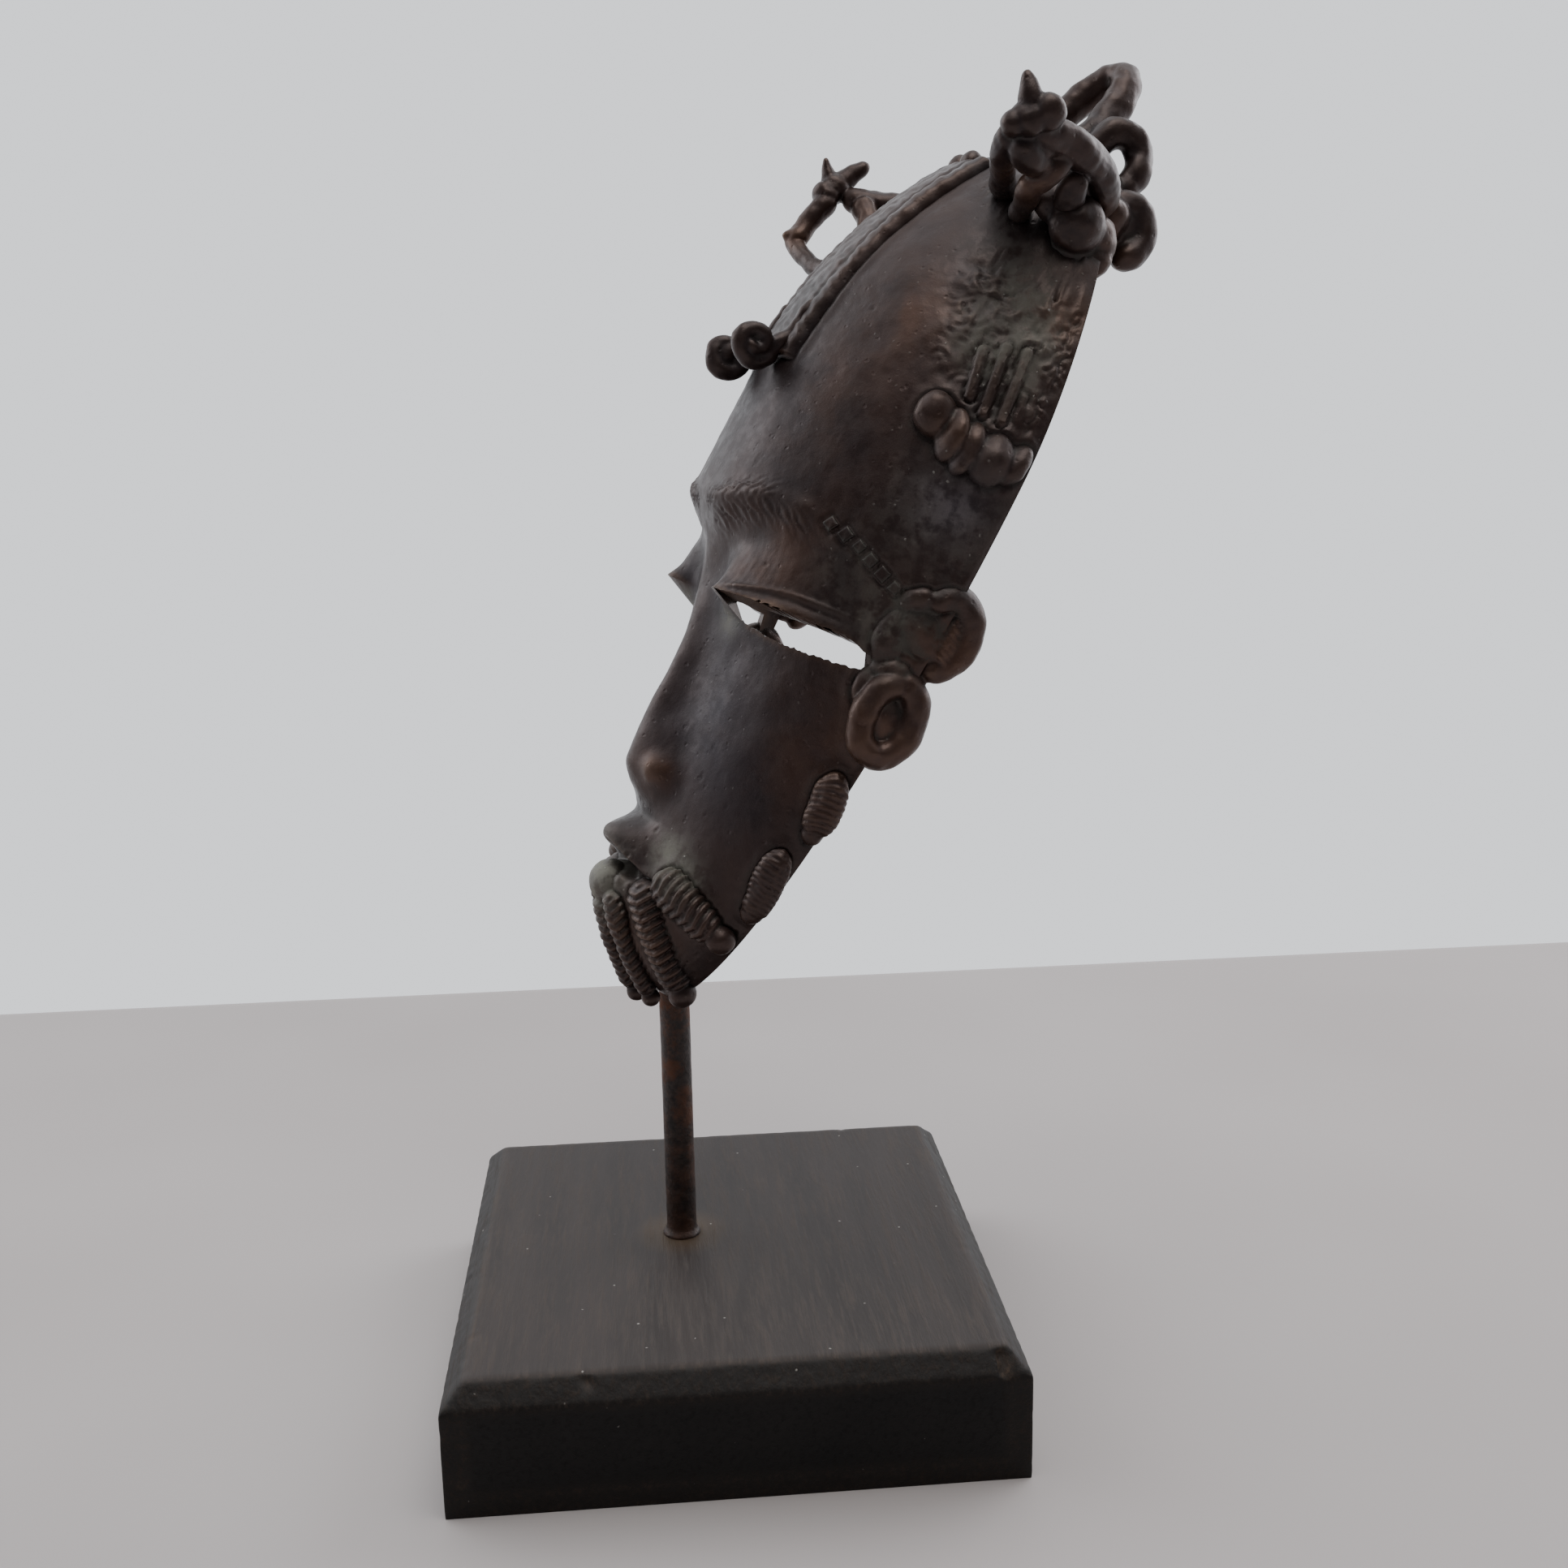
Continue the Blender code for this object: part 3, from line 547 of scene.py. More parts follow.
def build(name, points, faces):
    """A mesh object from arrays, still in carving units."""
    mesh = bpy.data.meshes.new(name)
    mesh.from_pydata([tuple(p) for p in points], [], faces)
    mesh.update()
    made = bpy.data.objects.new(name, mesh)
    bpy.context.scene.collection.objects.link(made)
    return made


def merge(parts):
    """Several vertex and face lists as one."""
    points, faces, start = [], [], 0
    for part_points, part_faces in parts:
        points.append(part_points)
        faces += [tuple(i + start for i in face) for face in part_faces]
        start += len(part_points)
    return np.vstack(points), faces


def mesh_values(items, name, width, kind=float):
    """One property of all vertices or edges of a mesh, as an array with a row for each."""
    values = np.zeros(len(items) * width, kind)
    items.foreach_get(name, values)
    return values.reshape(-1, width)


def fuse(name, parts, voxel, soften, hand=0.22):
    """Rolls and balls melted into one skin, then pressed uneven by hand."""
    made = build(name, *merge(parts))
    melt = made.modifiers.new("melt", "REMESH")
    melt.mode = "VOXEL"
    melt.voxel_size = voxel
    melt.use_smooth_shade = True
    soft = made.modifiers.new("soften", "SMOOTH")
    soft.factor, soft.iterations = 0.5, soften
    bpy.context.view_layer.update()
    mesh = bpy.data.meshes.new_from_object(made.evaluated_get(bpy.context.evaluated_depsgraph_get()))
    made.modifiers.clear()
    made.data = mesh
    points, facing = mesh_values(mesh.vertices, "co", 3), mesh_values(mesh.vertices, "normal", 3)
    marks = hand * wave_field(points, 7.0, 30, 51) + 0.3 * hand * wave_field(points, 2.6, 30, 52)
    mesh.vertices.foreach_set("co", (points + facing * marks[:, None]).ravel())
    mesh.update()
    return made


def coil(centre, radius_v, radius_w, start, sweep, count, u_start, u_end, thick, shrink=1.0):
    """Points of an oval coil in the v, w plane that drifts sideways."""
    points = []
    for k in range(count):
        t = k / (count - 1)
        angle = math.radians(start + sweep * t)
        size = 1 + (shrink - 1) * t
        girth = thick(t) if callable(thick) else thick
        points.append((u_start + (u_end - u_start) * t, centre[0] + radius_v * size * math.sin(angle),
                       centre[1] + radius_w * size * math.cos(angle), girth))
    return points


ornaments = {}
print("a coil starts at", [round(c, 1) for c in coil((0, 0), 5, 5, 0, 360, 5, 0, 1, 2.0)[0]])

# %% [markdown]
# ## Ears
# Each ear is two coils of thick wax: an open loop above and a ring below, both closed at the back by a pad.
# The upper loop is thick at its outer bend and runs out thin, and inside it the caster scratched fine ribs.

# %% Ear coils
EAR_U = 47.0


def ear(side):
    """The rolls and balls of one ear; side is 1 for the near one."""
    u = side * EAR_U
    sweep = 255 if side > 0 else 222
    upper = coil((97.3, 3.5), 7.5, 5.7, 20, sweep, 13, u + side * 0.5, u - side * 1.5,
                 lambda t: 3.45 * (0.74 + 0.26 * math.sin(math.pi * t)))
    lower = coil((77.2, 5.0), 7.6, 5.3, 60, 400, 18, u - side * 1.6, u - side * 1.6,
                 lambda t: 3.15 + 0.3 * math.sin(2 * math.pi * t))
    root = [(u - side * 6, 97.5, 15.5, 1.6), (u - side * 3, 99.8, 12.4, 2.6),
            (u - side * 1.0, 101.6, 10.4, 2.9), (u + side * 0.3, 102.6, 8.2, 2.9)]
    bridge = [(u - side * 5.0, 85.0, 13.0, 1.8), (u - side * 3.0, 86.2, 9.0, 2.9),
              (u - side * 2.0, 87.2, 4.5, 3.0)]
    if side < 0:
        bridge = [(u + 3.4, 83.5, 8.0, 1.8), (u + 2.2, 83.8, 4.0, 2.2)]
    parts = [roll(upper), roll(root), roll(lower), roll(bridge)]
    parts.append(lump((u - side * 1.3, 97.0, 4.5), 7.0, (0.42, 1.0, 1.15)))
    parts.append(lump((u - side * 3.2, 77.0, 4.8), 6.3, (0.5, 0.95, 1.1)))
    if side > 0:
        parts.append(lump((u - 4.0, 94.0, 10.5), 6.0, (0.6, 1.5, 0.9)))
        parts.append(lump((u - 4.4, 82.0, 10.5), 4.0, (0.6, 1.4, 0.9)))
    for k in range(8):
        row = 92.0 + 1.3 * k
        parts.append(roll([(u + side * 1.45, row, -0.2, 0.45), (u + side * 1.55, row + 1.4, 3.4, 0.45)], 8))
    return parts


for label, side in (("near", 1), ("far", -1)):
    ornaments[f"ear_{label}"] = fuse(f"ear_{label}", ear(side), 0.4, 2, 0.2)
print("ears", [len(ornaments[n].data.polygons) for n in ornaments])

# %% [markdown]
# ## The band over the crown and its two scrolls
# A flat band runs over the middle of the crown. Its edges stand proud, its face carries worn slanting
# dents, and at the forehead its two edge rolls curl up into scrolls. The band is a strip of its own that
# follows the skin.

# %% Crest band and scrolls
BAND_HALF, BAND_ROWS = 12.5, (135.0, 194.0)


def band():
    """The strip's points and faces: the face and its two flanks, which reach down into the wall."""
    t = np.linspace(0, 1, 190)
    across = np.concatenate(([-1.0, -1.0], np.linspace(-1, 1, 66), [1.0, 1.0]))
    v, s = np.meshgrid(BAND_ROWS[0] + (BAND_ROWS[1] - BAND_ROWS[0]) * t, across, indexing="ij")
    wobble = 0.35 * np.sin(v * 0.55) + 0.2 * np.sin(v * 1.3 + 1)
    u = s * (BAND_HALF + wobble * np.sign(s) * 0.3)
    lift = 1.7 + 0.45 * hump(np.abs(s), 0.8, 0.14) - 0.35 * hump(np.abs(s), 0.6, 0.05) - 0.2 * hump(s, 0, 0.3)
    herring = np.sin(v * 2.1 + np.abs(u) * 1.1 + 0.8 * np.sin(v * 0.7))
    herring = herring + 0.9 * wave_field(np.stack((u, v, u * 0), axis=-1), 5.0, 24, 22)
    lift = lift + 0.09 * herring * ease((0.97 - np.abs(s)) / 0.15) * ease((np.abs(s) - 0.08) / 0.1)
    edge = ease((1 - np.abs(s)) / 0.12)
    lift = lift * (0.12 + 0.88 * np.sqrt(edge))
    end = ease((t * (1 - t) * 4) / 0.08)[:, None]
    lift = lift * end - 0.7 * (1 - end)
    points = np.stack((u, v, outer(u, v)), axis=-1)
    points = points + normals(points) * lift[..., None]
    for column, depth in ((0, 2.2), (1, 0.6), (-2, 0.6), (-1, 2.2)):
        points[:, column, 2] -= depth
    return points, grid_faces(*points.shape[:2])


band_points, band_faces = band()
flat_band = band_points.reshape(-1, 3)
flat_band = flat_band + 0.09 * wave_field(flat_band, 4.5, 30, 21)[:, None] * np.array((0.2, 0.3, 0.9))
ornaments["crest_band"] = build("crest_band", flat_band, band_faces)

scrolls = []
for side in (-1, 1):
    u = side * 7.6
    lead = [(*on_skin(u, 150 - 3.2 * k) + np.array((0, 0, 0.9)), 1.5 + 0.1 * k) for k in range(4)]
    centre = (135.5 - (2.0 if side < 0 else 0.0), 55.0)
    curl = coil(centre, 4.0, 4.0, 165, 560, 19, u, u + side * 2.2, lambda t: 2.25 - 0.95 * t, 0.2)
    stem = [(u - side * 4.2, 138.5, 51.5, 1.6), (u - side * 2, 137, 52.6, 2.0), (u + side, 136, 53, 2.0)]
    scrolls.append(roll(lead + curl))
    scrolls.append(lump((u + side * 0.2, *centre), 3.0, (0.6, 1, 1)))
    scrolls.append(roll(stem))
ornaments["scrolls"] = fuse("scrolls", scrolls, 0.36, 1)
print("band", len(band_faces), "faces")

# %% [markdown]
# ## Buns and tufts
# On each temple sits a bun of five pressed balls and discs, and two tufts of hair hang down each cheek
# along the rim. The tufts are closely ribbed. A rib is only a change of the roll's radius along its length,
# so one helper makes the ribs of the tufts and of the braids.

# %% Buns and tufts
BUN = ((41.8, 135.0, 24.4, 4.5, 0.95, 1.1), (44.2, 132.6, 20.4, 4.8, 0.5, 1.2),
       (45.7, 131.6, 17.0, 4.9, 0.5, 1.2), (47.3, 131.6, 11.6, 5.4, 0.85, 1.1),
       (48.4, 133.0, 7.6, 4.6, 0.6, 1.15))
TUFTS = (((41.8, 63.5, 7.6, 2.0), (41.8, 60, 7.0, 3.4), (40.8, 54.5, 6.2, 3.6), (39.6, 48.8, 5.2, 2.5)),
         ((37.2, 44.5, 8.4, 1.9), (36.4, 40.5, 8.0, 3.2), (34.4, 34.5, 7.2, 3.5), (32.4, 28.0, 6.2, 2.5)))


def plait(pitch, depth, slant):
    """A rib pattern for a roll: slanting ribs that meet along the plait's middle."""
    def ring(s, angle):
        wave = np.abs(np.sin(math.pi * s / pitch + slant * np.abs(np.sin(angle)) * 2))
        return 1 - depth + depth * wave ** 0.7 * 1.6
    return ring


buns, tufts = [], []
for side in (-1, 1):
    for k, (u, v, w, radius, thin, tall) in enumerate(BUN):
        buns.append(lump((side * u, v, w), radius, (0.9, tall, thin), (0.18 - 0.1 * k, 0.25 * side, 0)))
    for line in TUFTS:
        strokes, flattened = plait(1.35, 0.13, 2.0), ((side * 0.8, -0.1, 0.5), 0.68)
        tufts.append(roll([(side * u, v, w, r) for u, v, w, r in line], 30, strokes, flattened))
        u, v, w, r = line[-1]
        tufts.append(lump((side * (u - 0.3), v + 1.0, w), r + 0.1, (0.9, 1.1, 0.9)))
        tufts.append(lump((side * (u + 1.0), v + 6.5, w + 0.6), r + 0.2, (0.8, 1.3, 0.9)))
print("tufts", len(tufts) // 3)

# %% [markdown]
# ## Braids of the beard
# Seven cords hang from the lower lip over the chin, each closely ribbed like a plait and ended by a ball.
# The middle one hangs alone, the others are pairs. Each is laid from a point on the skin beside the mouth
# to a point at the chin's edge, and is bent outwards a little. The lower lip is a bead of wax pressed on
# over them.

# %% Braids
BRAID_TOP = ((0, 15.5), (5.5, 17.5), (11.5, 23.5), (16.0, 26.5))
BRAID_FOOT = ((0, -1.0, 9.8), (6.5, 0.0, 8.5), (14.6, 5.0, 5.5), (26.6, 20.5, 8.5))
BRAID_RADIUS = (2.9, 2.6, 4.1, 4.1)
LIP_ROW, LIP_RADIUS = 18.6, 4.9

braids = []
for k, thick in enumerate(BRAID_RADIUS):
    for side in (1,) if k == 0 else (-1, 1):
        start = on_skin(side * BRAID_TOP[k][0], BRAID_TOP[k][1]) + np.array((0, 0, 0.6))
        end = np.array((side * BRAID_FOOT[k][0], *BRAID_FOOT[k][1:]))
        bend = np.array((side * 0.6, 0.0, 0.9))
        line = []
        for t in (0, 0.3, 0.65, 1):
            place = start + (end - start) * t + bend * math.sin(math.pi * t)
            line.append((*place, thick * (0.86 + 0.2 * math.sin(math.pi * min(t + 0.15, 1)))))
        braids.append(roll(line, 28, plait(1.9, 0.2, 1.1)))
        braids.append(lump(end + (end - start) / np.linalg.norm(end - start), thick * 0.8))
braids.append(lump(on_skin(0, LIP_ROW) - np.array((0, 0, 3.0)), LIP_RADIUS, (1.2, 1.0, 0.9)))
ornaments["buns"] = fuse("buns", buns, 0.38, 1, 0.16)
ornaments["tufts"] = fuse("tufts", tufts, 0.3, 1, 0.2)
ornaments["braids"] = fuse("braids", braids, 0.3, 1, 0.1)
print("braids", len(ornaments["braids"].data.polygons), "faces")

# %% [markdown]
# ## Studs beside the brow
# The studs are small square plates of wax. The groove around each is already in the skin, so a stud is only
# a cushion-shaped sheet over its square, closed underneath by a fan of faces to one point inside the wall.

# %% Brow studs
STUD_POINTS = 15

studs = []
for middle_point, along, across, facing, half in stud_frames():
    u, v = np.meshgrid(*[np.linspace(-1, 1, STUD_POINTS)] * 2, indexing="ij")
    top = 0.4 * np.clip(1 - np.maximum(np.abs(u), np.abs(v)) ** 6, 0, 1) + 0.05 * np.sin(u * 4 + v * 3) - 0.02
    spread = middle_point + (u * half)[..., None] * along + (v * half)[..., None] * across
    spread = spread + top[..., None] * facing
    last, corner_point = STUD_POINTS - 1, STUD_POINTS**2 - 1
    edge = list(range(last)) + [STUD_POINTS * i + last for i in range(last)]
    edge += [corner_point - j for j in range(last)] + [STUD_POINTS * (last - i) for i in range(last)]
    cells = grid_faces(STUD_POINTS, STUD_POINTS)
    cells += [(a, corner_point + 1, b) for a, b in zip(edge, edge[1:] + edge[:1])]
    studs.append((np.vstack((spread.reshape(-1, 3), (middle_point - 0.9 * facing)[None])), cells))
ornaments["brow_studs"] = build("brow_studs", *merge(studs))
print("studs", len(studs))

# %% [markdown]
# ## Loops and lumps of the crown
# The crown carries a tall standing loop, with an open coil, a closed lobe and a cluster of lumps down each
# side of it. They were pressed on with the fingers, so they are fused more softly than the rest.

# %% Crown loops
CROWN_LUMPS = ((26.5, 192.3, -0.6, 4.6, (0.6, 1.1, 1.0)), (24.5, 192, 5.5, 6.2, (1.2, 1, 1.1)),
               (34, 178.5, 11.5, 5.1, (0.95, 0.95, 1.1)), (33.5, 184.5, 8, 5.4, (1, 1, 1)),
               (35.6, 180.5, 6.6, 3.6, (0.8, 1.1, 1.1)), (30.5, 189.0, 13.0, 5.2, (1, 1, 1)),
               (38.0, 183.5, 14.5, 5.4, (0.9, 1.1, 1.1)), (35.0, 185.5, 19.0, 4.4, (0.9, 1.0, 1.3)))
STALK = ((4, 200, 10, 3.4), (9, 203, 8.5, 3.6), (15, 203, 4, 3.2), (21, 197, 3, 3.4))

crown, arch = [], []
for k in range(13):
    angle = math.pi * k / 12
    u, reach = 7.5 * math.cos(angle), math.sin(angle) ** 0.7
    arch.append((u, 204 + 26.5 * reach - 0.15 * u, 13 - 7.7 * reach - 0.3 * u, 3.9 - 0.2 * reach))
crown.append(roll(arch, 22, None, ((1, 0, 0), 0.92)))
crown += [lump((0, 203, 11), 7.5, (1.5, 1, 0.8)), lump((4, 193.8, 29), 2.8), lump((-4, 194.6, 28.6), 2.6)]
for side in (-1, 1):
    open_coil = coil((208.3, 3.3), 6.5, 5.0, -40, 285, 12, side * 11.0, side * 17, lambda t: 3.5 - 0.4 * t)
    lobe = coil((192.3, -0.2), 5.4, 4.4, 20, 250, 12, side * 25, side * 28, 3.4)
    crown += [roll(open_coil), roll([(side * u, v, w, r) for u, v, w, r in STALK]), roll(lobe)]
    crown += [lump((side * u, v, w), radius, stretch) for u, v, w, radius, stretch in CROWN_LUMPS]
ornaments["crown_loops"] = fuse("crown_loops", crown, 0.45, 5)
print("crown loops", len(ornaments["crown_loops"].data.polygons), "faces")

# %% [markdown]
# ## The two horned animals
# A small animal stands off each side of the crown on thin legs, its head and horns to the front. Each limb
# is a roll from the body to a point on the crown, and the two animals are not alike, because each was made
# by hand.

# %% Animals
SHARED = {
    "trunk": ((50, 188.6, 37, 3.0), (47, 192, 28, 3.5), (43, 193.5, 20, 3.6), (38, 193, 13, 3.4),
              (31, 191.5, 8, 3.2)),
    "back_leg": ((42, 190.5, 22, 1.9), (38, 189, 17, 1.8), (33, 187.5, 11, 2.2)),
}
NEAR = {
    "neck": ((49, 186.5, 39, 3.2), (51, 189.5, 38.4, 3.4), (52, 191.8, 35.5, 3.0)),
    "horn": ((51.6, 190.2, 37.4, 2.6), (51.2, 193, 40.0, 2.5), (51, 195.2, 42.0, 1.7),
                  (51, 196.8, 43.4, 0.5)),
    "chest": ((49.5, 187, 38.5, 3.2), (47, 185.5, 34, 3.2), (44, 186.5, 29.5, 3.0), (42, 188, 26, 2.4)),
    "foreleg": ((49, 187.5, 39, 3.0), (43, 185.5, 37.3, 2.8), (33, 184.8, 31.5, 2.7), (25, 186.2, 27.6, 2.9),
                (17, 188, 24, 2.5)),
    "hindleg": ((45.5, 191, 26.5, 2.6), (44, 186.2, 27.4, 2.9), (41, 183.2, 28.2, 2.7), (36, 182.4, 26, 2.4),
                (25, 182, 21.5, 2.6)),
    "heel": ((44, 190, 22, 2.8), (41, 187.0, 20, 3.2), (37, 185.0, 17.5, 3.4)),
}
FAR = {
    "neck": ((50, 187.0, 39.2, 3.1), (51, 189.5, 40, 3.3), (52, 191, 40.5, 2.6)),
    "horn": ((52, 190.6, 40.8, 2.4), (52, 193.2, 43.0, 1.6), (52, 195.7, 44.8, 0.4)),
    "horn_back": ((52, 190.6, 39.5, 2.6), (51.4, 193.6, 37.9, 2.5), (50.6, 197.6, 36.0, 2.0),
                  (50, 200.0, 35.0, 1.2)),
    "foreleg": ((50.5, 188.5, 39.5, 3.4), (50.2, 181, 41.2, 2.7), (50, 175.6, 42.4, 2.9),
                (49, 172.5, 42.0, 2.3), (44, 169.8, 39.6, 2.2), (38, 168.0, 36.9, 2.3),
                (24, 166, 33, 2.6)),
    "knee": ((50, 175.8, 41.6, 2.9), (50.2, 174.4, 44.2, 2.1), (50.4, 173.6, 46.2, 0.6)),
    "hindleg": ((48, 190, 33, 3.4), (44, 186.6, 30.8, 3.1), (40, 183.8, 29, 2.8), (25, 182, 22, 2.8)),
}
HEADS = {1: ((52, 192.2, 36.0, 3.7), (50.4, 187.2, 40.6, 2.6), (46.5, 188.5, 32.5, 3.4)),
         -1: ((52, 190.2, 39.4, 3.9), (51.0, 187.8, 40.6, 3.5))}
for label, side, own in (("near", 1, NEAR), ("far", -1, FAR)):
    parts = [roll([(side * u, v, w, r) for u, v, w, r in line], 16) for line in {**SHARED, **own}.values()]
    for u, v, w, radius in HEADS[side]:
        parts.append(lump((side * u, v, w), radius))
    ornaments[f"animal_{label}"] = fuse(f"animal_{label}", parts, 0.34, 3, 0.2)
print("animals", [len(ornaments[f"animal_{n}"].data.polygons) for n in ("near", "far")])

# %% [markdown]
# ## Where wax meets shell
# When a roll is pressed on, the shell around it swells a little and a crease stays, in which dust and green
# corrosion gather for good. So each point of the shell asks how near the closest roll is: it swells by
# that, and keeps the nearness as a mark for the patina. Each roll gets the same mark from the shell.

# %% Swelling and creases


def nearness(tree, points, reach):
    """1 on the other surface, and 0 at reach from it, for each point."""
    found = []
    for p in points:
        hit = tree.find_nearest(Vector(p), reach)
        found.append(0.0 if hit[0] is None else 1.0 - hit[3] / reach)
    return np.array(found)


SWELL_REACH = 3.2

pressed_on = [made.data for name, made in ornaments.items() if name != "brow_studs"]
roll_points, roll_faces = merge([(mesh_values(mesh.vertices, "co", 3),
                                  [tuple(p.vertices) for p in mesh.polygons]) for mesh in pressed_on])
rolls_tree = BVHTree.FromPolygons([Vector(p) for p in roll_points], roll_faces)
shape = carved_points.shape[:2]
shell_near = nearness(rolls_tree, carved_points.reshape(-1, 3), SWELL_REACH).reshape(shape)
swell = 0.5 * ease(shell_near) * (1 - hump(shell_near, 1.0, 0.14))
carved_points = carved_points + normals(outer_points) * (swell * fade)[..., None]
print("shell points beside a roll:", int((shell_near > 0).sum()))

# %% [markdown]
# ## Closing the shell
# The outer skin is now joined to a coarser inner one: along the rim, and around the two slits. The inner
# skin takes every fourth row and column, because nobody sees more of it than a dark hollow.

# %% Shell mesh
inner_points = skin(rows, columns, True)
low, high = (int(np.argmin(np.abs(rows - r))) for r in SLIT_ROWS)
middle = len(columns) // 2
slits = [(middle - COLUMN_STEPS[0] - COLUMN_STEPS[1], middle - COLUMN_STEPS[0]),
         (middle + COLUMN_STEPS[0], middle + COLUMN_STEPS[0] + COLUMN_STEPS[1])]


def close_shell():
    """Vertices and faces of both skins joined into one closed shell."""
    last, side = len(rows) - 1, len(columns) - 1
    points, outside, back = [], {}, {}

    def place(store, key, point):
        store[key] = len(points)
        points.append(point)

    for store, grid, step in ((outside, carved_points, 1), (back, inner_points, INNER_STEP)):
        for i in (0, last):
            place(store, i, grid[i, middle])
        for i in range(1, last):
            for j in range(0, side + 1, step):
                place(store, (i, j), grid[i, j])
    faces = []

    def corner(store, i, j):
        return store[i] if i in (0, last) else store[(i, j)]

    def face(*corners):
        faces.append(tuple(dict.fromkeys(corners)))

    def open_here(i, j):
        return i == low and any(a <= j < b for a, b in slits)

    inner_rows = list(range(0, low + 1, INNER_STEP)) + list(range(high, last + 1, INNER_STEP))
    for store, row_list, step in ((outside, list(range(last + 1)), 1), (back, inner_rows, INNER_STEP)):
        for i, up in zip(row_list, row_list[1:]):
            for j in range(0, side, step):
                if not open_here(i, j):
                    ring = [corner(store, i, j), corner(store, i, j + step)]
                    ring += [corner(store, up, j + step), corner(store, up, j)]
                    face(*(ring[::-1] if store is back else ring))
    for i, up in zip(inner_rows, inner_rows[1:]):
        for j in (0, side):
            ring = [corner(outside, k, j) for k in range(i, up + 1)]
            ring += [corner(back, up, j), corner(back, i, j)]
            face(*(ring[::-1] if j else ring))
    for first, end in slits:
        for i in (low, high):
            for j in range(first, end, INNER_STEP):
                ring = [outside[(i, k)] for k in range(j, j + INNER_STEP + 1)]
                ring += [back[(i, j + INNER_STEP)], back[(i, j)]]
                face(*(ring if i == low else ring[::-1]))
        for j in (first, end):
            ring = [outside[(low, j)], outside[(high, j)], back[(high, j)], back[(low, j)]]
            face(*(ring if j == end else ring[::-1]))
    used = sorted({i for f in faces for i in f})
    renumber = {old: new for new, old in enumerate(used)}
    return np.array(points)[used], [tuple(renumber[i] for i in f) for f in faces]


shell_points, shell_faces = close_shell()
shell = build("mask_shell", shell_points, shell_faces)
shell_tree = BVHTree.FromPolygons([Vector(p) for p in shell_points], shell_faces)
print("shell", len(shell_faces), "faces")

# %% [markdown]
# ## Marks for the patina
# Patina follows form: hands polish what stands out, and dirt stays in what lies deep. Each vertex is given
# six numbers that the material can read later. How much it stands out and how deep it lies come from the
# mesh itself, by asking where a point's neighbours lie. How dusty, warm, cool and crusted it is comes from
# short lists of places, each with a reach and an amount: pale crust sits on the lower lip, at the corner of
# the mouth and at the inner corner of the eye, dust lies on the temple, and the metal turns warm where hands
# have held it.
# The cool mark is partly painted reflection: blue-black on cheek and nose flank, lilac-grey dust by the
# temple rim.
# The warm mark is partly painted highlight: it lightens the nostril wings, the ears and the far animal's
# knee.

# %% Vertex marks
DUSTY = (((42, 155, 17), 8.0, 1.0), ((40, 163, 18), 7.0, 1.0), ((38.5, 153, 22), 6.0, 0.7),
         ((45, 147, 12), 6.0, 0.4), ((17, 30, 22), 6.0, 0.9), ((21, 27, 18), 5.0, 0.7),
         ((13.6, 81.5, 34.3), 3.2, 1.0), ((0, 19.5, 31), 7.5, 1.0), ((44, 92, 15), 8.0, 0.5),
         ((40, 100, 24), 7.0, 0.4), ((46, 119, 14), 10.0, 0.8), ((34, 172, 22), 7.0, 0.7))
# Bluish tone and painted reflection: blue-black on cheek and nose flank, lilac-grey dust by the temple rim.
COOL_TONE_AND_REFLECTION = (((18, 62, 33), 17.0, 1.0), ((14, 84, 36), 9.0, 0.8), ((30, 50, 24), 12.0, 0.6),
        ((47, 121, 14), 9.0, 1.0), ((6, 124, 50), 14.0, 0.6), ((36, 186, 30), 12.0, 0.5))
# Warm tone and painted highlight: the spots on nostril wing, ears and far animal's knee stand in for
# highlights.
WARM_TONE_AND_HIGHLIGHT = (((31, 153, 33), 9.0, 0.9), ((43, 163, 10), 8.0, 1.0), ((9, 46, 32), 5.0, 1.0),
        ((40, 62, 14), 14.0, 0.55), ((30, 100, 36), 10.0, 0.6), ((48, 95, 2), 9.0, 0.9),
        ((47, 74, 4), 9.0, 0.8), ((12, 12, 18), 10.0, 0.6), ((28, 132, 40), 14.0, 0.35),
        ((50, 174, 43), 5.0, 1.0), ((42, 185, 30), 6.0, 1.0), ((45, 132, 19), 5.0, 0.9),
        ((33, 186, 8), 8.0, 0.8), ((26, 88, 38), 9.0, 0.6))
CRUSTED = (((0, 18.6, 29), 6.5, 1.0), ((15.5, 31, 23), 3.5, 0.6), ((20.5, 27.5, 18), 3.5, 0.6),
           ((13.6, 81.5, 34.3), 3.0, 0.7), ((44, 157, 14), 5.0, 0.35))
PLACES = {"dusty": DUSTY, "warm_tone_and_highlight": WARM_TONE_AND_HIGHLIGHT, "cool_tone_and_reflection": COOL_TONE_AND_REFLECTION, "crusted": CRUSTED}
CREASE_REACH, FOOT_REACH, STUD_SHARE = 2.2, 1.6, 0.15


def neighbour_mean(values, edges, count):
    """The mean of a vertex value over each vertex's neighbours."""
    total, number = np.zeros((count, *values.shape[1:])), np.bincount(edges.ravel(), minlength=count)
    np.add.at(total, edges[:, 0], values[edges[:, 1]])
    np.add.at(total, edges[:, 1], values[edges[:, 0]])
    number = np.clip(number, 1, None)
    return total / (number if values.ndim == 1 else number[:, None])


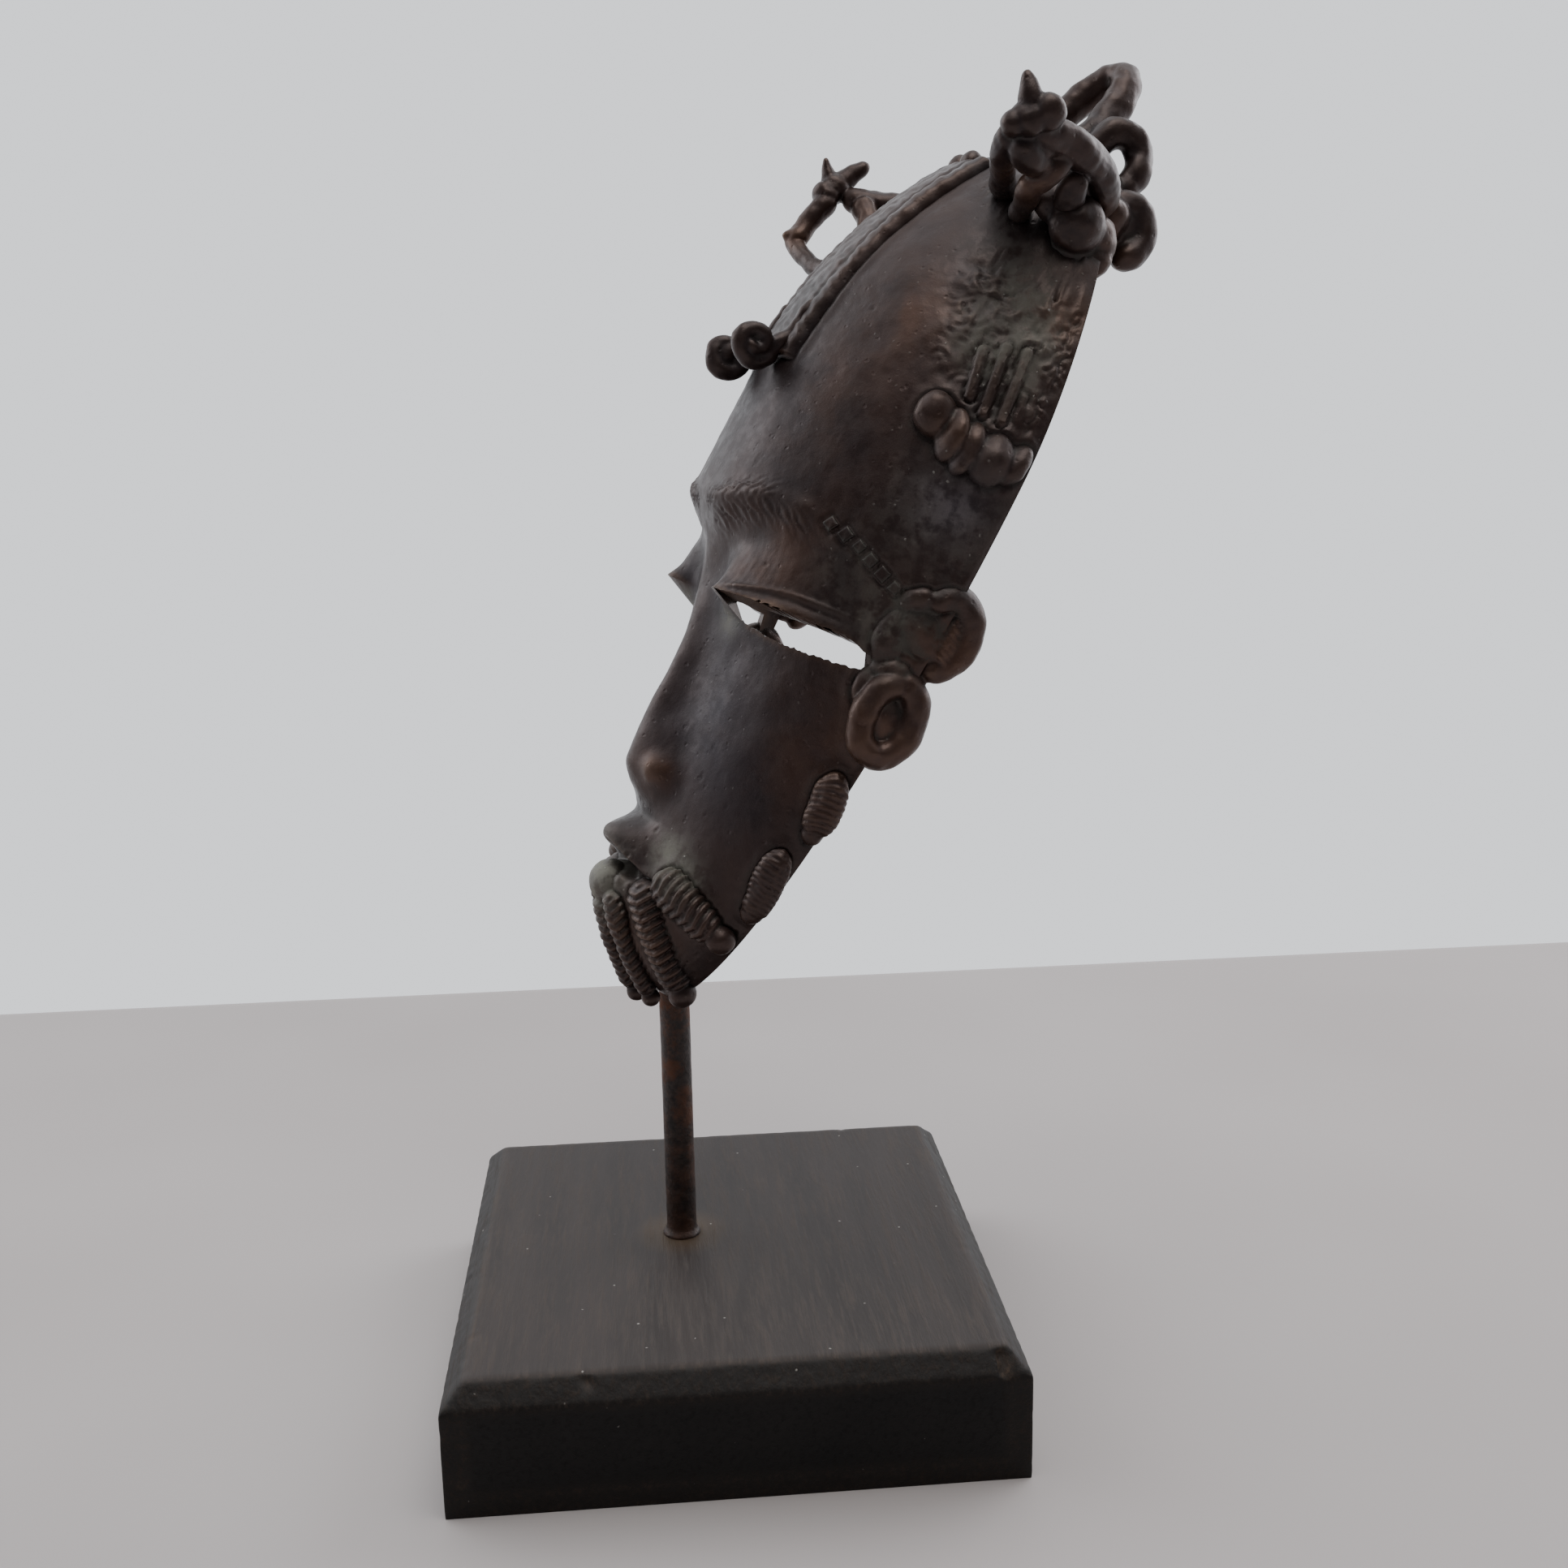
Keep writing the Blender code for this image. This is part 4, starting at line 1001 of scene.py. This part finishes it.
def mark_vertices(made, near):
    """Writes the marks for the patina on an object's vertices."""
    mesh = made.data
    count = len(mesh.vertices)
    points, normal = mesh_values(mesh.vertices, "co", 3), mesh_values(mesh.vertices, "normal", 3)
    edges = mesh_values(mesh.edges, "vertices", 2, int)
    spread = np.linalg.norm(points[edges[:, 0]] - points[edges[:, 1]], axis=1).mean()
    smooth = points
    for _ in range(5):
        smooth = neighbour_mean(smooth, edges, count)
    bend = ((points - smooth) * normal).sum(axis=1) / spread
    for _ in range(2):
        bend = 0.4 * bend + 0.6 * neighbour_mean(bend, edges, count)
    marks = {"stands_out": np.clip(bend * 1.6, 0, 1) * (1 - ease(near * 1.3)),
             "lies_deep": np.clip(-bend * 1.8 + 0.9 * near, 0, 1)}
    mirrored = np.column_stack((np.abs(points[:, 0]), points[:, 1:]))
    for name, table in PLACES.items():
        total = np.zeros(count)
        for centre, reach, amount in table:
            total += amount * hump(np.linalg.norm(mirrored - np.array(centre, float), axis=1), 0, reach)
        marks[name] = np.clip(total, 0, 1)
    for name, values in marks.items():
        layer = mesh.attributes.new(name, "FLOAT", "POINT")
        layer.data.foreach_set("value", values.astype(np.float32))
    return {name: round(float(values.mean()), 3) for name, values in marks.items()}


near_rolls = nearness(rolls_tree, mesh_values(shell.data.vertices, "co", 3), CREASE_REACH)
print("shell", mark_vertices(shell, near_rolls))
for name, made in ornaments.items():
    share = STUD_SHARE if name == "brow_studs" else 1.0
    mark_vertices(made, share * nearness(shell_tree, mesh_values(made.data.vertices, "co", 3), FOOT_REACH))

# %% [markdown]
# ## Standing the mask on its rod
# All pieces are turned from the upright carving frame into the frame of the measured model, and take the
# place of its plain mask. They all ride on the one body that the stand has.

# %% Place the pieces
SHARP_FROM = math.radians(58)

mask_pieces = [shell, *ornaments.values()]
for made in mask_pieces:
    made.data.transform(carving_to_frame)
    made.data.shade_smooth()
    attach(made, "root")
    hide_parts("mask")
shell.data.set_sharp_from_angle(angle=SHARP_FROM)
print("pieces of the mask", len(mask_pieces))

# %% [markdown]
# ## The wooden block
# The block is a square of dark stained hardwood with a chamfered top. Years of shelves and hands have
# rounded its edges and knocked small chips out of them. A remeshed block gives even faces, which are then
# worn: the nearer a point is to an edge, the more a random field may press it in.

# %% Wooden block
BASE_SIDE, BASE_HEIGHT, BASE_CHAMFER, WOOD_VOXEL = 120.0, 28.0, 4.5, 0.95


def wooden_block():
    """The chamfered block with worn edges."""
    bm = bmesh.new()
    bmesh.ops.create_cube(bm, size=1.0)
    bmesh.ops.scale(bm, vec=(BASE_SIDE, BASE_SIDE, BASE_HEIGHT), verts=bm.verts)
    bmesh.ops.translate(bm, vec=(0, 0, BASE_HEIGHT / 2), verts=bm.verts)
    top_edges = [e for e in bm.edges if all(v.co.z > BASE_HEIGHT / 2 for v in e.verts)]
    bmesh.ops.bevel(bm, geom=top_edges, offset=BASE_CHAMFER, segments=1, affect="EDGES")
    mesh = bpy.data.meshes.new("wooden_block")
    bm.to_mesh(mesh)
    bm.free()
    made = bpy.data.objects.new("wooden_block", mesh)
    bpy.context.scene.collection.objects.link(made)
    even = made.modifiers.new("even faces", "REMESH")
    even.mode = "VOXEL"
    even.voxel_size = WOOD_VOXEL
    soft = made.modifiers.new("soft edges", "SMOOTH")
    soft.factor, soft.iterations = 0.5, 1
    bpy.context.view_layer.update()
    worn = bpy.data.meshes.new_from_object(made.evaluated_get(bpy.context.evaluated_depsgraph_get()))
    made.modifiers.clear()
    made.data = worn
    points = mesh_values(worn.vertices, "co", 3)
    x, y, z = points.T
    half = BASE_SIDE / 2
    gaps = np.sort(np.stack((half - np.abs(x), half - np.abs(y), BASE_HEIGHT - z, z)), axis=0)
    to_edge = gaps[0] + gaps[1]
    edge = hump(to_edge, 0, 3.2) + 0.8 * hump(to_edge, BASE_CHAMFER, 1.4)
    chip = 0.9 * ease((wave_field(points, 7.0, 30, 31) - 1.3) / 0.8)
    chip = chip + 0.1 * ease(wave_field(points, 4.0, 30, 32))
    inward = -np.column_stack((x / half, y / half, z / BASE_HEIGHT - 0.5))
    keep_foot = ease(z)[:, None]
    points = points + 0.9 * inward * (edge * chip)[:, None] * keep_foot
    worn.vertices.foreach_set("co", (points * MILLIMETRE).ravel())
    layer = worn.attributes.new("worn_edge", "FLOAT", "POINT")
    layer.data.foreach_set("value", np.clip(edge * (0.25 + chip), 0, 1).astype(np.float32))
    made.data.update()
    made.data.shade_smooth()
    return made


block = wooden_block()
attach(block, "root")
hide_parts("base")
print("block", len(block.data.polygons), "faces")

# %% [markdown]
# ## The iron rod
# The rod is plain round bar, rusted and rubbed. It is turned as a lathe would turn it: a profile of radius
# by height, a hair uneven, with a low bead of rust and old glue where it enters the wood.

# %% Iron rod
ROD_RADIUS = 3.5


def iron_rod():
    """The rod and the bead at its foot."""
    heights = np.concatenate((np.linspace(12.2, 28, 6), np.linspace(28.2, 31, 12), np.linspace(32, 100, 120)))
    angle = np.linspace(0, 2 * math.pi, 40, endpoint=False)
    z, a = np.meshgrid(heights, angle, indexing="ij")
    spots = np.stack((np.cos(a) * ROD_RADIUS, np.sin(a) * ROD_RADIUS, z), axis=-1)
    radius = ROD_RADIUS - 0.03 + 0.03 * wave_field(spots, 5.0, 30, 41) + 0.9 * hump(z, 28.2, 1.0)
    grid = np.stack((np.cos(a) * radius, np.sin(a) * radius, z), axis=-1).reshape(-1, 3)
    grid = grid * MILLIMETRE + np.array(ROD_FOOT)
    made = build("iron_rod", grid, tube_faces(len(heights), len(angle)))
    made.data.shade_smooth()
    return made


rod = iron_rod()
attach(rod, "root")
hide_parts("rod")
print("rod", len(rod.data.polygons), "faces")

# %% [markdown]
# ## Node helpers
# Materials are built from nodes. A few helpers keep that short. One adds a node and fills or links its
# inputs by name, four give the result of a sum, a product or a colour mix, and two start a node group with
# named inputs and outputs or put one into a material, so that an effect is made once and shared.

# %% Node helpers


def node(tree, kind, inputs=None, **settings):
    """Adds a node; each input is a number, a colour or the socket that feeds it."""
    made = tree.nodes.new(kind)
    for name, value in settings.items():
        setattr(made, name, value)
    for key, value in (inputs or {}).items():
        socket = made.inputs[key]
        if isinstance(value, bpy.types.NodeSocket):
            tree.links.new(value, socket)
        else:
            socket.default_value = value
    return made


def math_node(tree, operation, a, b=0.5, clamp=False):
    """A Math node's result."""
    return node(tree, "ShaderNodeMath", {0: a, 1: b}, operation=operation, use_clamp=clamp).outputs[0]


def product(tree, a, b):
    """Two values multiplied and kept between 0 and 1."""
    return math_node(tree, "MULTIPLY", a, b, True)


def scaled(tree, value, factor, start=None):
    """A value times a factor, with a start value added if there is one."""
    result = math_node(tree, "MULTIPLY", value, factor)
    return result if start is None else math_node(tree, "ADD", result, start)


def mix_colour(tree, factor, a, b):
    """A colour mix's result."""
    return node(tree, "ShaderNodeMix", {0: factor, 6: a, 7: b}, data_type="RGBA").outputs[2]


def new_group(name, takes, gives):
    """A node group with named inputs and outputs."""
    tree = bpy.data.node_groups.new(name, "ShaderNodeTree")
    for title, kind, value in takes:
        socket = tree.interface.new_socket(title, in_out="INPUT", socket_type=kind)
        if value is not None:
            socket.default_value = value
    for title, kind in gives:
        tree.interface.new_socket(title, in_out="OUTPUT", socket_type=kind)
    return tree, tree.nodes.new("NodeGroupInput").outputs, tree.nodes.new("NodeGroupOutput").inputs


def use_group(tree, group, inputs):
    """Puts a node group into a tree and gives its result."""
    return node(tree, "ShaderNodeGroup", inputs, node_tree=group).outputs[0]


VALUE, VECTOR = "NodeSocketFloat", "NodeSocketVector"
print("node helpers ready")

# %% [markdown]
# ## Shared effects
# Three effects come back in every finish here. Cloudy patches break up an even colour. Small specks stand
# for dust, pits and crumbs of old core. Fine unevenness tilts the normal, so that a highlight breaks up as
# it does on old metal and wood. Each is a node group that works on positions in metres.

# %% Patches, specks and fine unevenness


def noise(tree, position, scale, detail, roughness=0.5):
    """A noise texture's value."""
    inputs = {"Vector": position, "Scale": scale, "Detail": detail, "Roughness": roughness}
    return node(tree, "ShaderNodeTexNoise", inputs).outputs["Fac"]


def between(tree, value, start, end, kind="LINEAR"):
    """0 where the value is at start, 1 where it is at end."""
    inputs = {"Value": value, "From Min": start, "From Max": end}
    return node(tree, "ShaderNodeMapRange", inputs, interpolation_type=kind).outputs[0]


def patches_group():
    """Cloudy patches as a mask."""
    takes = (("Position", VECTOR, None), ("Size", VALUE, 0.01), ("Amount", VALUE, 0.5),
             ("Softness", VALUE, 0.15))
    tree, given, result = new_group("Cloudy patches", takes, (("Mask", VALUE),))
    scale = math_node(tree, "DIVIDE", 1.0, given["Size"])
    cloud = noise(tree, given["Position"], scale, 5.0, 0.62)
    middle_value = math_node(tree, "SUBTRACT", 1.0, given["Amount"])
    start = math_node(tree, "SUBTRACT", middle_value, given["Softness"])
    end = math_node(tree, "ADD", middle_value, given["Softness"])
    tree.links.new(between(tree, cloud, start, end, "SMOOTHSTEP"), result["Mask"])
    return tree


def specks_group():
    """Small scattered specks as a mask."""
    takes = (("Position", VECTOR, None), ("Size", VALUE, 0.001), ("Share", VALUE, 0.2),
             ("Spread", VALUE, 0.35))
    tree, given, result = new_group("Small specks", takes, (("Mask", VALUE),))
    scale = math_node(tree, "DIVIDE", 1.0, given["Size"])
    wobble = node(tree, "ShaderNodeTexNoise", {"Vector": given["Position"], "Scale": 700.0, "Detail": 2.0})
    shift = node(tree, "ShaderNodeVectorMath", {0: wobble.outputs["Color"]}, operation="SCALE")
    shift.inputs["Scale"].default_value = 0.0008
    moved = node(tree, "ShaderNodeVectorMath", {0: given["Position"], 1: shift.outputs[0]}, operation="ADD")
    cells = node(tree, "ShaderNodeTexVoronoi", {"Vector": moved.outputs[0], "Scale": scale})
    spot = between(tree, cells.outputs["Distance"], given["Spread"], 0.08)
    pick = node(tree, "ShaderNodeSeparateColor", {0: cells.outputs["Color"]})
    chosen = math_node(tree, "LESS_THAN", pick.outputs[0], given["Share"])
    tree.links.new(scaled(tree, spot, chosen), result["Mask"])
    return tree


def uneven_group():
    """A normal tilted by fine unevenness and by a given height."""
    takes = (("Position", VECTOR, None), ("Size", VALUE, 0.002), ("Strength", VALUE, 0.1),
             ("Height", VALUE, 0.0), ("Height Strength", VALUE, 0.2))
    tree, given, result = new_group("Fine unevenness", takes, (("Normal", VECTOR),))
    scale = math_node(tree, "DIVIDE", 1.0, given["Size"])
    grain = noise(tree, given["Position"], scale, 6.0, 0.6)
    inputs = {"Strength": given["Strength"], "Distance": 0.0006, "Height": grain}
    first = node(tree, "ShaderNodeBump", inputs).outputs[0]
    inputs = {"Strength": given["Height Strength"], "Distance": 0.0004, "Height": given["Height"]}
    second = node(tree, "ShaderNodeBump", {**inputs, "Normal": first}).outputs[0]
    tree.links.new(second, result["Normal"])
    return tree


patches, specks, uneven = patches_group(), specks_group(), uneven_group()
print("groups", [g.name for g in bpy.data.node_groups])

# %% [markdown]
# ## Starting a finish
# Every finish begins alike, with an empty material and positions in metres, and then asks for the shared
# effects at its own sizes. Short helpers for that keep the recipes below readable as lists of layers.

# %% Finish helpers


def new_material(name):
    """An empty material, its tree, shader and a position in the frame."""
    made = bpy.data.materials.new(name)
    made.use_nodes = True
    tree = made.node_tree
    shader = tree.nodes["Principled BSDF"]
    return made, tree, shader, node(tree, "ShaderNodeTexCoord").outputs["Object"]


def mark(tree, name):
    """One of the vertex marks."""
    return node(tree, "ShaderNodeAttribute", attribute_name=name).outputs["Fac"]


def cloudy(tree, position, size, amount, softness):
    """Cloudy patches of a size in metres."""
    inputs = {"Position": position, "Size": size, "Amount": amount, "Softness": softness}
    return use_group(tree, patches, inputs)


def specked(tree, position, size, share, spread):
    """Small specks of a size in metres."""
    return use_group(tree, specks, {"Position": position, "Size": size, "Share": share, "Spread": spread})


def tilted(tree, position, size, strength, height, height_strength):
    """A normal with fine unevenness and a height."""
    inputs = {"Position": position, "Size": size, "Strength": strength}
    return use_group(tree, uneven, {**inputs, "Height": height, "Height Strength": height_strength})


def finish_with(tree, shader, values):
    """Links or sets the shader's inputs by name."""
    for key, value in values.items():
        if isinstance(value, bpy.types.NodeSocket):
            tree.links.new(value, shader.inputs[key])
        else:
            shader.inputs[key].default_value = value


print("finish helpers ready")

# %% [markdown]
# ## Bronze patina
# The casting is nearly black-brown and only half shines. Where hands have polished it, it turns warm brown
# and then bronze; in creases and on the temple it is dulled by grey-green dust; and the whole is sprinkled
# with pale crumbs. The material layers these in the order in which they came to be: dark metal, warmth,
# polish, dirt, and last of all dust, crust and crumbs.
# The blue-black of cheek and nose flank and the lilac-grey dust by the temple rim are partly painted
# reflection.
# Where the warmth is strongest, on nostril wings, ears and the far animal's knee, it is partly painted
# highlight.

# %% Bronze
BROWN_BLACK, BROWN = (0.0230, 0.0145, 0.0145, 1), (0.0430, 0.0250, 0.0220, 1)
# Pale brown is partly painted highlight, laid on where the warmth is strongest.
WARM_BROWN, PALE_BROWN_AND_HIGHLIGHT = (0.060, 0.0290, 0.0190, 1), (0.150, 0.080, 0.055, 1)
# Blue-black is partly a bluish tone and partly painted reflection on the cheek and nose flank.
BLUE_BLACK_AND_REFLECTION, BARE_BRONZE = (0.0150, 0.0140, 0.0215, 1), (0.135, 0.080, 0.050, 1)
OLD_DIRT = (0.0105, 0.0095, 0.0090, 1)
# The grey dust is lilac-grey: partly dust, partly painted reflection by the temple rim.
GREEN_DUST, GREY_DUST_AND_REFLECTION = (0.138, 0.134, 0.110, 1), (0.150, 0.128, 0.135, 1)
PALE_CRUST, PALE_CRUMBS = (0.235, 0.230, 0.190, 1), (0.33, 0.32, 0.29, 1)
MARKS = ("stands_out", "lies_deep", "dusty", "warm_tone_and_highlight", "cool_tone_and_reflection", "crusted")


def bronze():
    """Dark patinated bronze that follows the vertex marks."""
    made, tree, shader, position = new_material("patinated bronze")
    out, deep, dusty, warm_tone_and_highlight, cool_tone_and_reflection, crusted = (mark(tree, name) for name in MARKS)
    broad = cloudy(tree, position, 0.045, 0.5, 0.13)
    middling = cloudy(tree, position, 0.011, 0.5, 0.12)
    fine = cloudy(tree, position, 0.0032, 0.52, 0.1)
    crumbs = specked(tree, position, 0.0016, 0.13, 0.2)
    pits = specked(tree, position, 0.0021, 0.4, 0.25)

    # Painted reflection, partly a bluish tone: blue-black on the cheek and nose flank.
    blue_and_reflection = product(tree, cool_tone_and_reflection, scaled(tree, middling, 0.5, 0.5))
    tint = product(tree, scaled(tree, warm_tone_and_highlight, 0.85, 0.14), middling)
    # Painted highlight, partly warm tone: the strongest warm spots turn pale brown.
    pale_warmth_and_highlight = scaled(tree, product(tree, warm_tone_and_highlight, warm_tone_and_highlight), 0.32)
    polish = product(tree, out, scaled(tree, warm_tone_and_highlight, 0.7, 0.3))
    dirt = product(tree, deep, scaled(tree, fine, 0.5, 0.5))
    film = product(tree, dusty, scaled(tree, fine, 0.65, 0.3))
    film = math_node(tree, "ADD", film, scaled(tree, product(tree, dirt, fine), 0.22), True)
    film = product(tree, film, scaled(tree, middling, 0.6, 0.4))
    # Painted reflection, partly dust: the dust turns lilac-grey by the temple rim.
    dust_colour_and_reflection = mix_colour(tree, cool_tone_and_reflection, GREEN_DUST, GREY_DUST_AND_REFLECTION)
    crust = product(tree, crusted, scaled(tree, fine, 0.55, 0.4))
    sprinkle = product(tree, crumbs, scaled(tree, dusty, 0.9, 0.1))
    colour = mix_colour(tree, broad, BROWN_BLACK, BROWN)
    for amount, paint in ((blue_and_reflection, BLUE_BLACK_AND_REFLECTION), (tint, WARM_BROWN), (pale_warmth_and_highlight, PALE_BROWN_AND_HIGHLIGHT),
                          (scaled(tree, polish, 0.8), BARE_BRONZE), (scaled(tree, dirt, 0.75), OLD_DIRT),
                          (scaled(tree, film, 0.72), dust_colour_and_reflection), (crust, PALE_CRUST), (sprinkle, PALE_CRUMBS)):
        colour = mix_colour(tree, amount, colour, paint)

    film = math_node(tree, "MAXIMUM", film, crust)
    rough = math_node(tree, "SUBTRACT", scaled(tree, fine, 0.10, 0.36), scaled(tree, polish, 0.12))
    rough = math_node(tree, "ADD", rough, scaled(tree, cool_tone_and_reflection, 0.06))
    rough = math_node(tree, "ADD", rough, scaled(tree, film, 0.35), True)
    height = scaled(tree, crumbs, math_node(tree, "ADD", dusty, 0.15))
    height = math_node(tree, "SUBTRACT", height, scaled(tree, pits, 0.35))
    metal = math_node(tree, "SUBTRACT", 0.5, scaled(tree, film, 0.45), True)
    bumps = tilted(tree, position, 0.0018, 0.16, height, 0.45)
    finish_with(tree, shader, {"Base Color": colour, "Roughness": rough, "Normal": bumps, "Metallic": metal,
                               "Specular IOR Level": 0.55})
    return made


bronze_material = bronze()
for made in mask_pieces:
    made.data.materials.clear()
    made.data.materials.append(bronze_material)
print("bronze nodes", len(bronze_material.node_tree.nodes))

# %% [markdown]
# ## Stained wood and rusty iron
# The block is hardwood stained dark brown, with fine grain along one side of the block, paler where the
# stain has rubbed off its edges. Its sides are painted nearly black: painted shade for light that comes from
# behind. The rod is dark iron with orange rust in patches, most of it just under the chin.

# %% Wood and iron


def wood():
    """Dark stained wood with grain along X; its sides get painted shade, far darker than the top."""
    made, tree, shader, position = new_material("dark stained wood")
    along_grain = {0: position, 1: (0.11, 1.0, 1.0)}
    stretched = node(tree, "ShaderNodeVectorMath", along_grain, operation="MULTIPLY").outputs[0]
    grain = cloudy(tree, stretched, 0.0013, 0.42, 0.16)
    bands = cloudy(tree, stretched, 0.009, 0.5, 0.2)
    cloud = cloudy(tree, position, 0.03, 0.5, 0.2)
    crumbs = specked(tree, position, 0.0024, 0.05, 0.14)
    normal = node(tree, "ShaderNodeNewGeometry").outputs["Normal"]
    top = between(tree, node(tree, "ShaderNodeSeparateXYZ", {0: normal}).outputs[2], 0.75, 0.98)
    rod_entry = {0: position, 1: (ROD_FOOT.x, ROD_FOOT.y, BASE_HEIGHT * MILLIMETRE)}
    from_rod = node(tree, "ShaderNodeVectorMath", rod_entry, operation="DISTANCE").outputs["Value"]
    ring = scaled(tree, between(tree, from_rod, 0.012, 0.004), 0.7)

    colour = mix_colour(tree, bands, (0.022, 0.0165, 0.0145, 1), (0.036, 0.027, 0.0235, 1))
    colour = mix_colour(tree, scaled(tree, grain, 0.75), colour, (0.074, 0.059, 0.050, 1))
    colour = mix_colour(tree, scaled(tree, cloud, 0.4), colour, (0.036, 0.028, 0.025, 1))
    colour = mix_colour(tree, ring, colour, (0.085, 0.055, 0.030, 1))
    # Painted shade: the block's sides get a colour far darker than its top, for light that comes from behind.
    painted_shade_side_colour = mix_colour(tree, cloud, (0.0018, 0.0015, 0.0015, 1), (0.0060, 0.0048, 0.0045, 1))
    colour = mix_colour(tree, top, painted_shade_side_colour, colour)
    rubbed = product(tree, mark(tree, "worn_edge"), scaled(tree, grain, 0.6, 0.2))
    colour = mix_colour(tree, rubbed, colour, (0.105, 0.070, 0.048, 1))
    colour = mix_colour(tree, scaled(tree, crumbs, 0.7), colour, (0.36, 0.34, 0.31, 1))
    bumps = tilted(tree, stretched, 0.0012, 0.25, grain, 0.25)
    finish_with(tree, shader, {"Base Color": colour, "Normal": bumps, "Specular IOR Level": 0.28,
                               "Roughness": scaled(tree, grain, 0.15, 0.55)})
    return made


def iron():
    """Dark iron with patches of orange rust."""
    made, tree, shader, position = new_material("rusty iron")
    rust = cloudy(tree, position, 0.009, 0.47, 0.1)
    fine = cloudy(tree, position, 0.0016, 0.5, 0.14)
    high = between(tree, node(tree, "ShaderNodeSeparateXYZ", {0: position}).outputs[2], 0.045, 0.084)
    colour = mix_colour(tree, fine, (0.020, 0.016, 0.015, 1), (0.042, 0.030, 0.026, 1))
    amount = product(tree, rust, scaled(tree, high, 0.65, 0.3))
    colour = mix_colour(tree, amount, colour, (0.155, 0.058, 0.026, 1))
    bumps = tilted(tree, position, 0.0011, 0.3, fine, 0.2)
    finish_with(tree, shader, {"Base Color": colour, "Normal": bumps, "Metallic": 0.35,
                               "Roughness": scaled(tree, amount, 0.35, 0.42)})
    return made


for piece, finish in ((block, wood()), (rod, iron())):
    piece.data.materials.clear()
    piece.data.materials.append(finish)
print("materials", [m.name for m in bpy.data.materials])

# %% [markdown]
# ## Floor, light and camera
# The object is shown as in the photograph: from its left side and a little above, on a pale plain floor.
# The floor ends in a rounded edge some way behind the object, and beyond it there is only bright daylight.
# Light comes from the face's side and from behind, and the room behind the viewer is dim. That, and the
# painted shade in the colour of the block's sides, is why the front of the block is almost black, while
# forehead, nose and rim have pale edges.

# %% Stage
FLOOR_HALF, FLOOR_EDGE, EDGE_RADIUS = 2.0, -0.26, 0.02


def pale_floor():
    """A floor that ends in a rounded edge some way behind the object."""
    line = [(FLOOR_HALF, 0.0)]
    for k in range(7):
        angle = k * math.pi / 12
        line.append((FLOOR_EDGE - EDGE_RADIUS * math.sin(angle), EDGE_RADIUS * (math.cos(angle) - 1)))
    points = [(x, y, z) for x, z in line for y in (-FLOOR_HALF, FLOOR_HALF)]
    faces = [(2 * k, 2 * k + 1, 2 * k + 3, 2 * k + 2) for k in range(len(line) - 1)]
    mesh = bpy.data.meshes.new("floor")
    mesh.from_pydata(points, [], faces)
    mesh.shade_smooth()
    made = bpy.data.objects.new("floor", mesh)
    bpy.context.scene.collection.objects.link(made)
    finish, tree, shader, position = new_material("pale floor")
    cloud = noise(tree, position, 6.0, 2.0)
    colour = mix_colour(tree, cloud, (0.42, 0.38, 0.37, 1), (0.54, 0.505, 0.495, 1))
    finish_with(tree, shader, {"Base Color": colour, "Roughness": 0.85})
    mesh.materials.append(finish)
    return made


pale_floor()

world = bpy.data.worlds.new("daylight")
world.use_nodes = True
sky = world.node_tree
direction = node(sky, "ShaderNodeTexCoord").outputs["Generated"]
toward = node(sky, "ShaderNodeSeparateXYZ", {0: direction}).outputs[0]
dim = between(sky, toward, -0.35, 0.55)
sky_colour = mix_colour(sky, dim, (1.24, 1.27, 1.32, 1), (0.098, 0.094, 0.102, 1))
finish_with(sky, sky.nodes["Background"], {"Color": sky_colour, "Strength": 0.95})
bpy.context.scene.world = world


def soft_light(name, place, aim, size, power, colour):
    """A square area light that looks at a point."""
    lamp = bpy.data.lights.new(name, "AREA")
    lamp.shape, lamp.size, lamp.energy, lamp.color = "SQUARE", size, power, colour
    made = bpy.data.objects.new(name, lamp)
    made.location = place
    made.rotation_euler = (Vector(aim) - Vector(place)).to_track_quat("-Z", "Y").to_euler()
    bpy.context.scene.collection.objects.link(made)
    return made


MIDDLE = (0.0, 0.02, 0.17)
soft_light("window", (-0.40, -0.85, 0.75), MIDDLE, 0.8, 3.8, (0.95, 0.97, 1.0))
soft_light("bright room behind", (-0.40, 0.75, 0.55), MIDDLE, 0.6, 3.0, (0.97, 0.96, 1.0))
soft_light("ceiling", (0.25, 0.15, 1.1), MIDDLE, 0.7, 5.0, (1.0, 0.98, 0.95))

SENSOR_WIDTH, LENS = 36.0, 37.87
camera_data = bpy.data.cameras.new("camera")
camera_data.sensor_width, camera_data.lens = SENSOR_WIDTH, LENS
camera_data.clip_start = 0.01
camera = bpy.data.objects.new("camera", camera_data)
right, down = Vector((0.087446, 0.995998, -0.018447)), Vector((0.208230, -0.036385, -0.977403))
forward = Vector((-0.974163, 0.081629, -0.210578))
turn = Matrix((right, -down, -forward)).transposed().to_4x4()
camera.matrix_world = Matrix.Translation((0.35781, -0.0138, 0.21301)) @ turn
bpy.context.scene.collection.objects.link(camera)
bpy.context.scene.camera = camera
print("camera at", [round(c, 3) for c in camera.location])
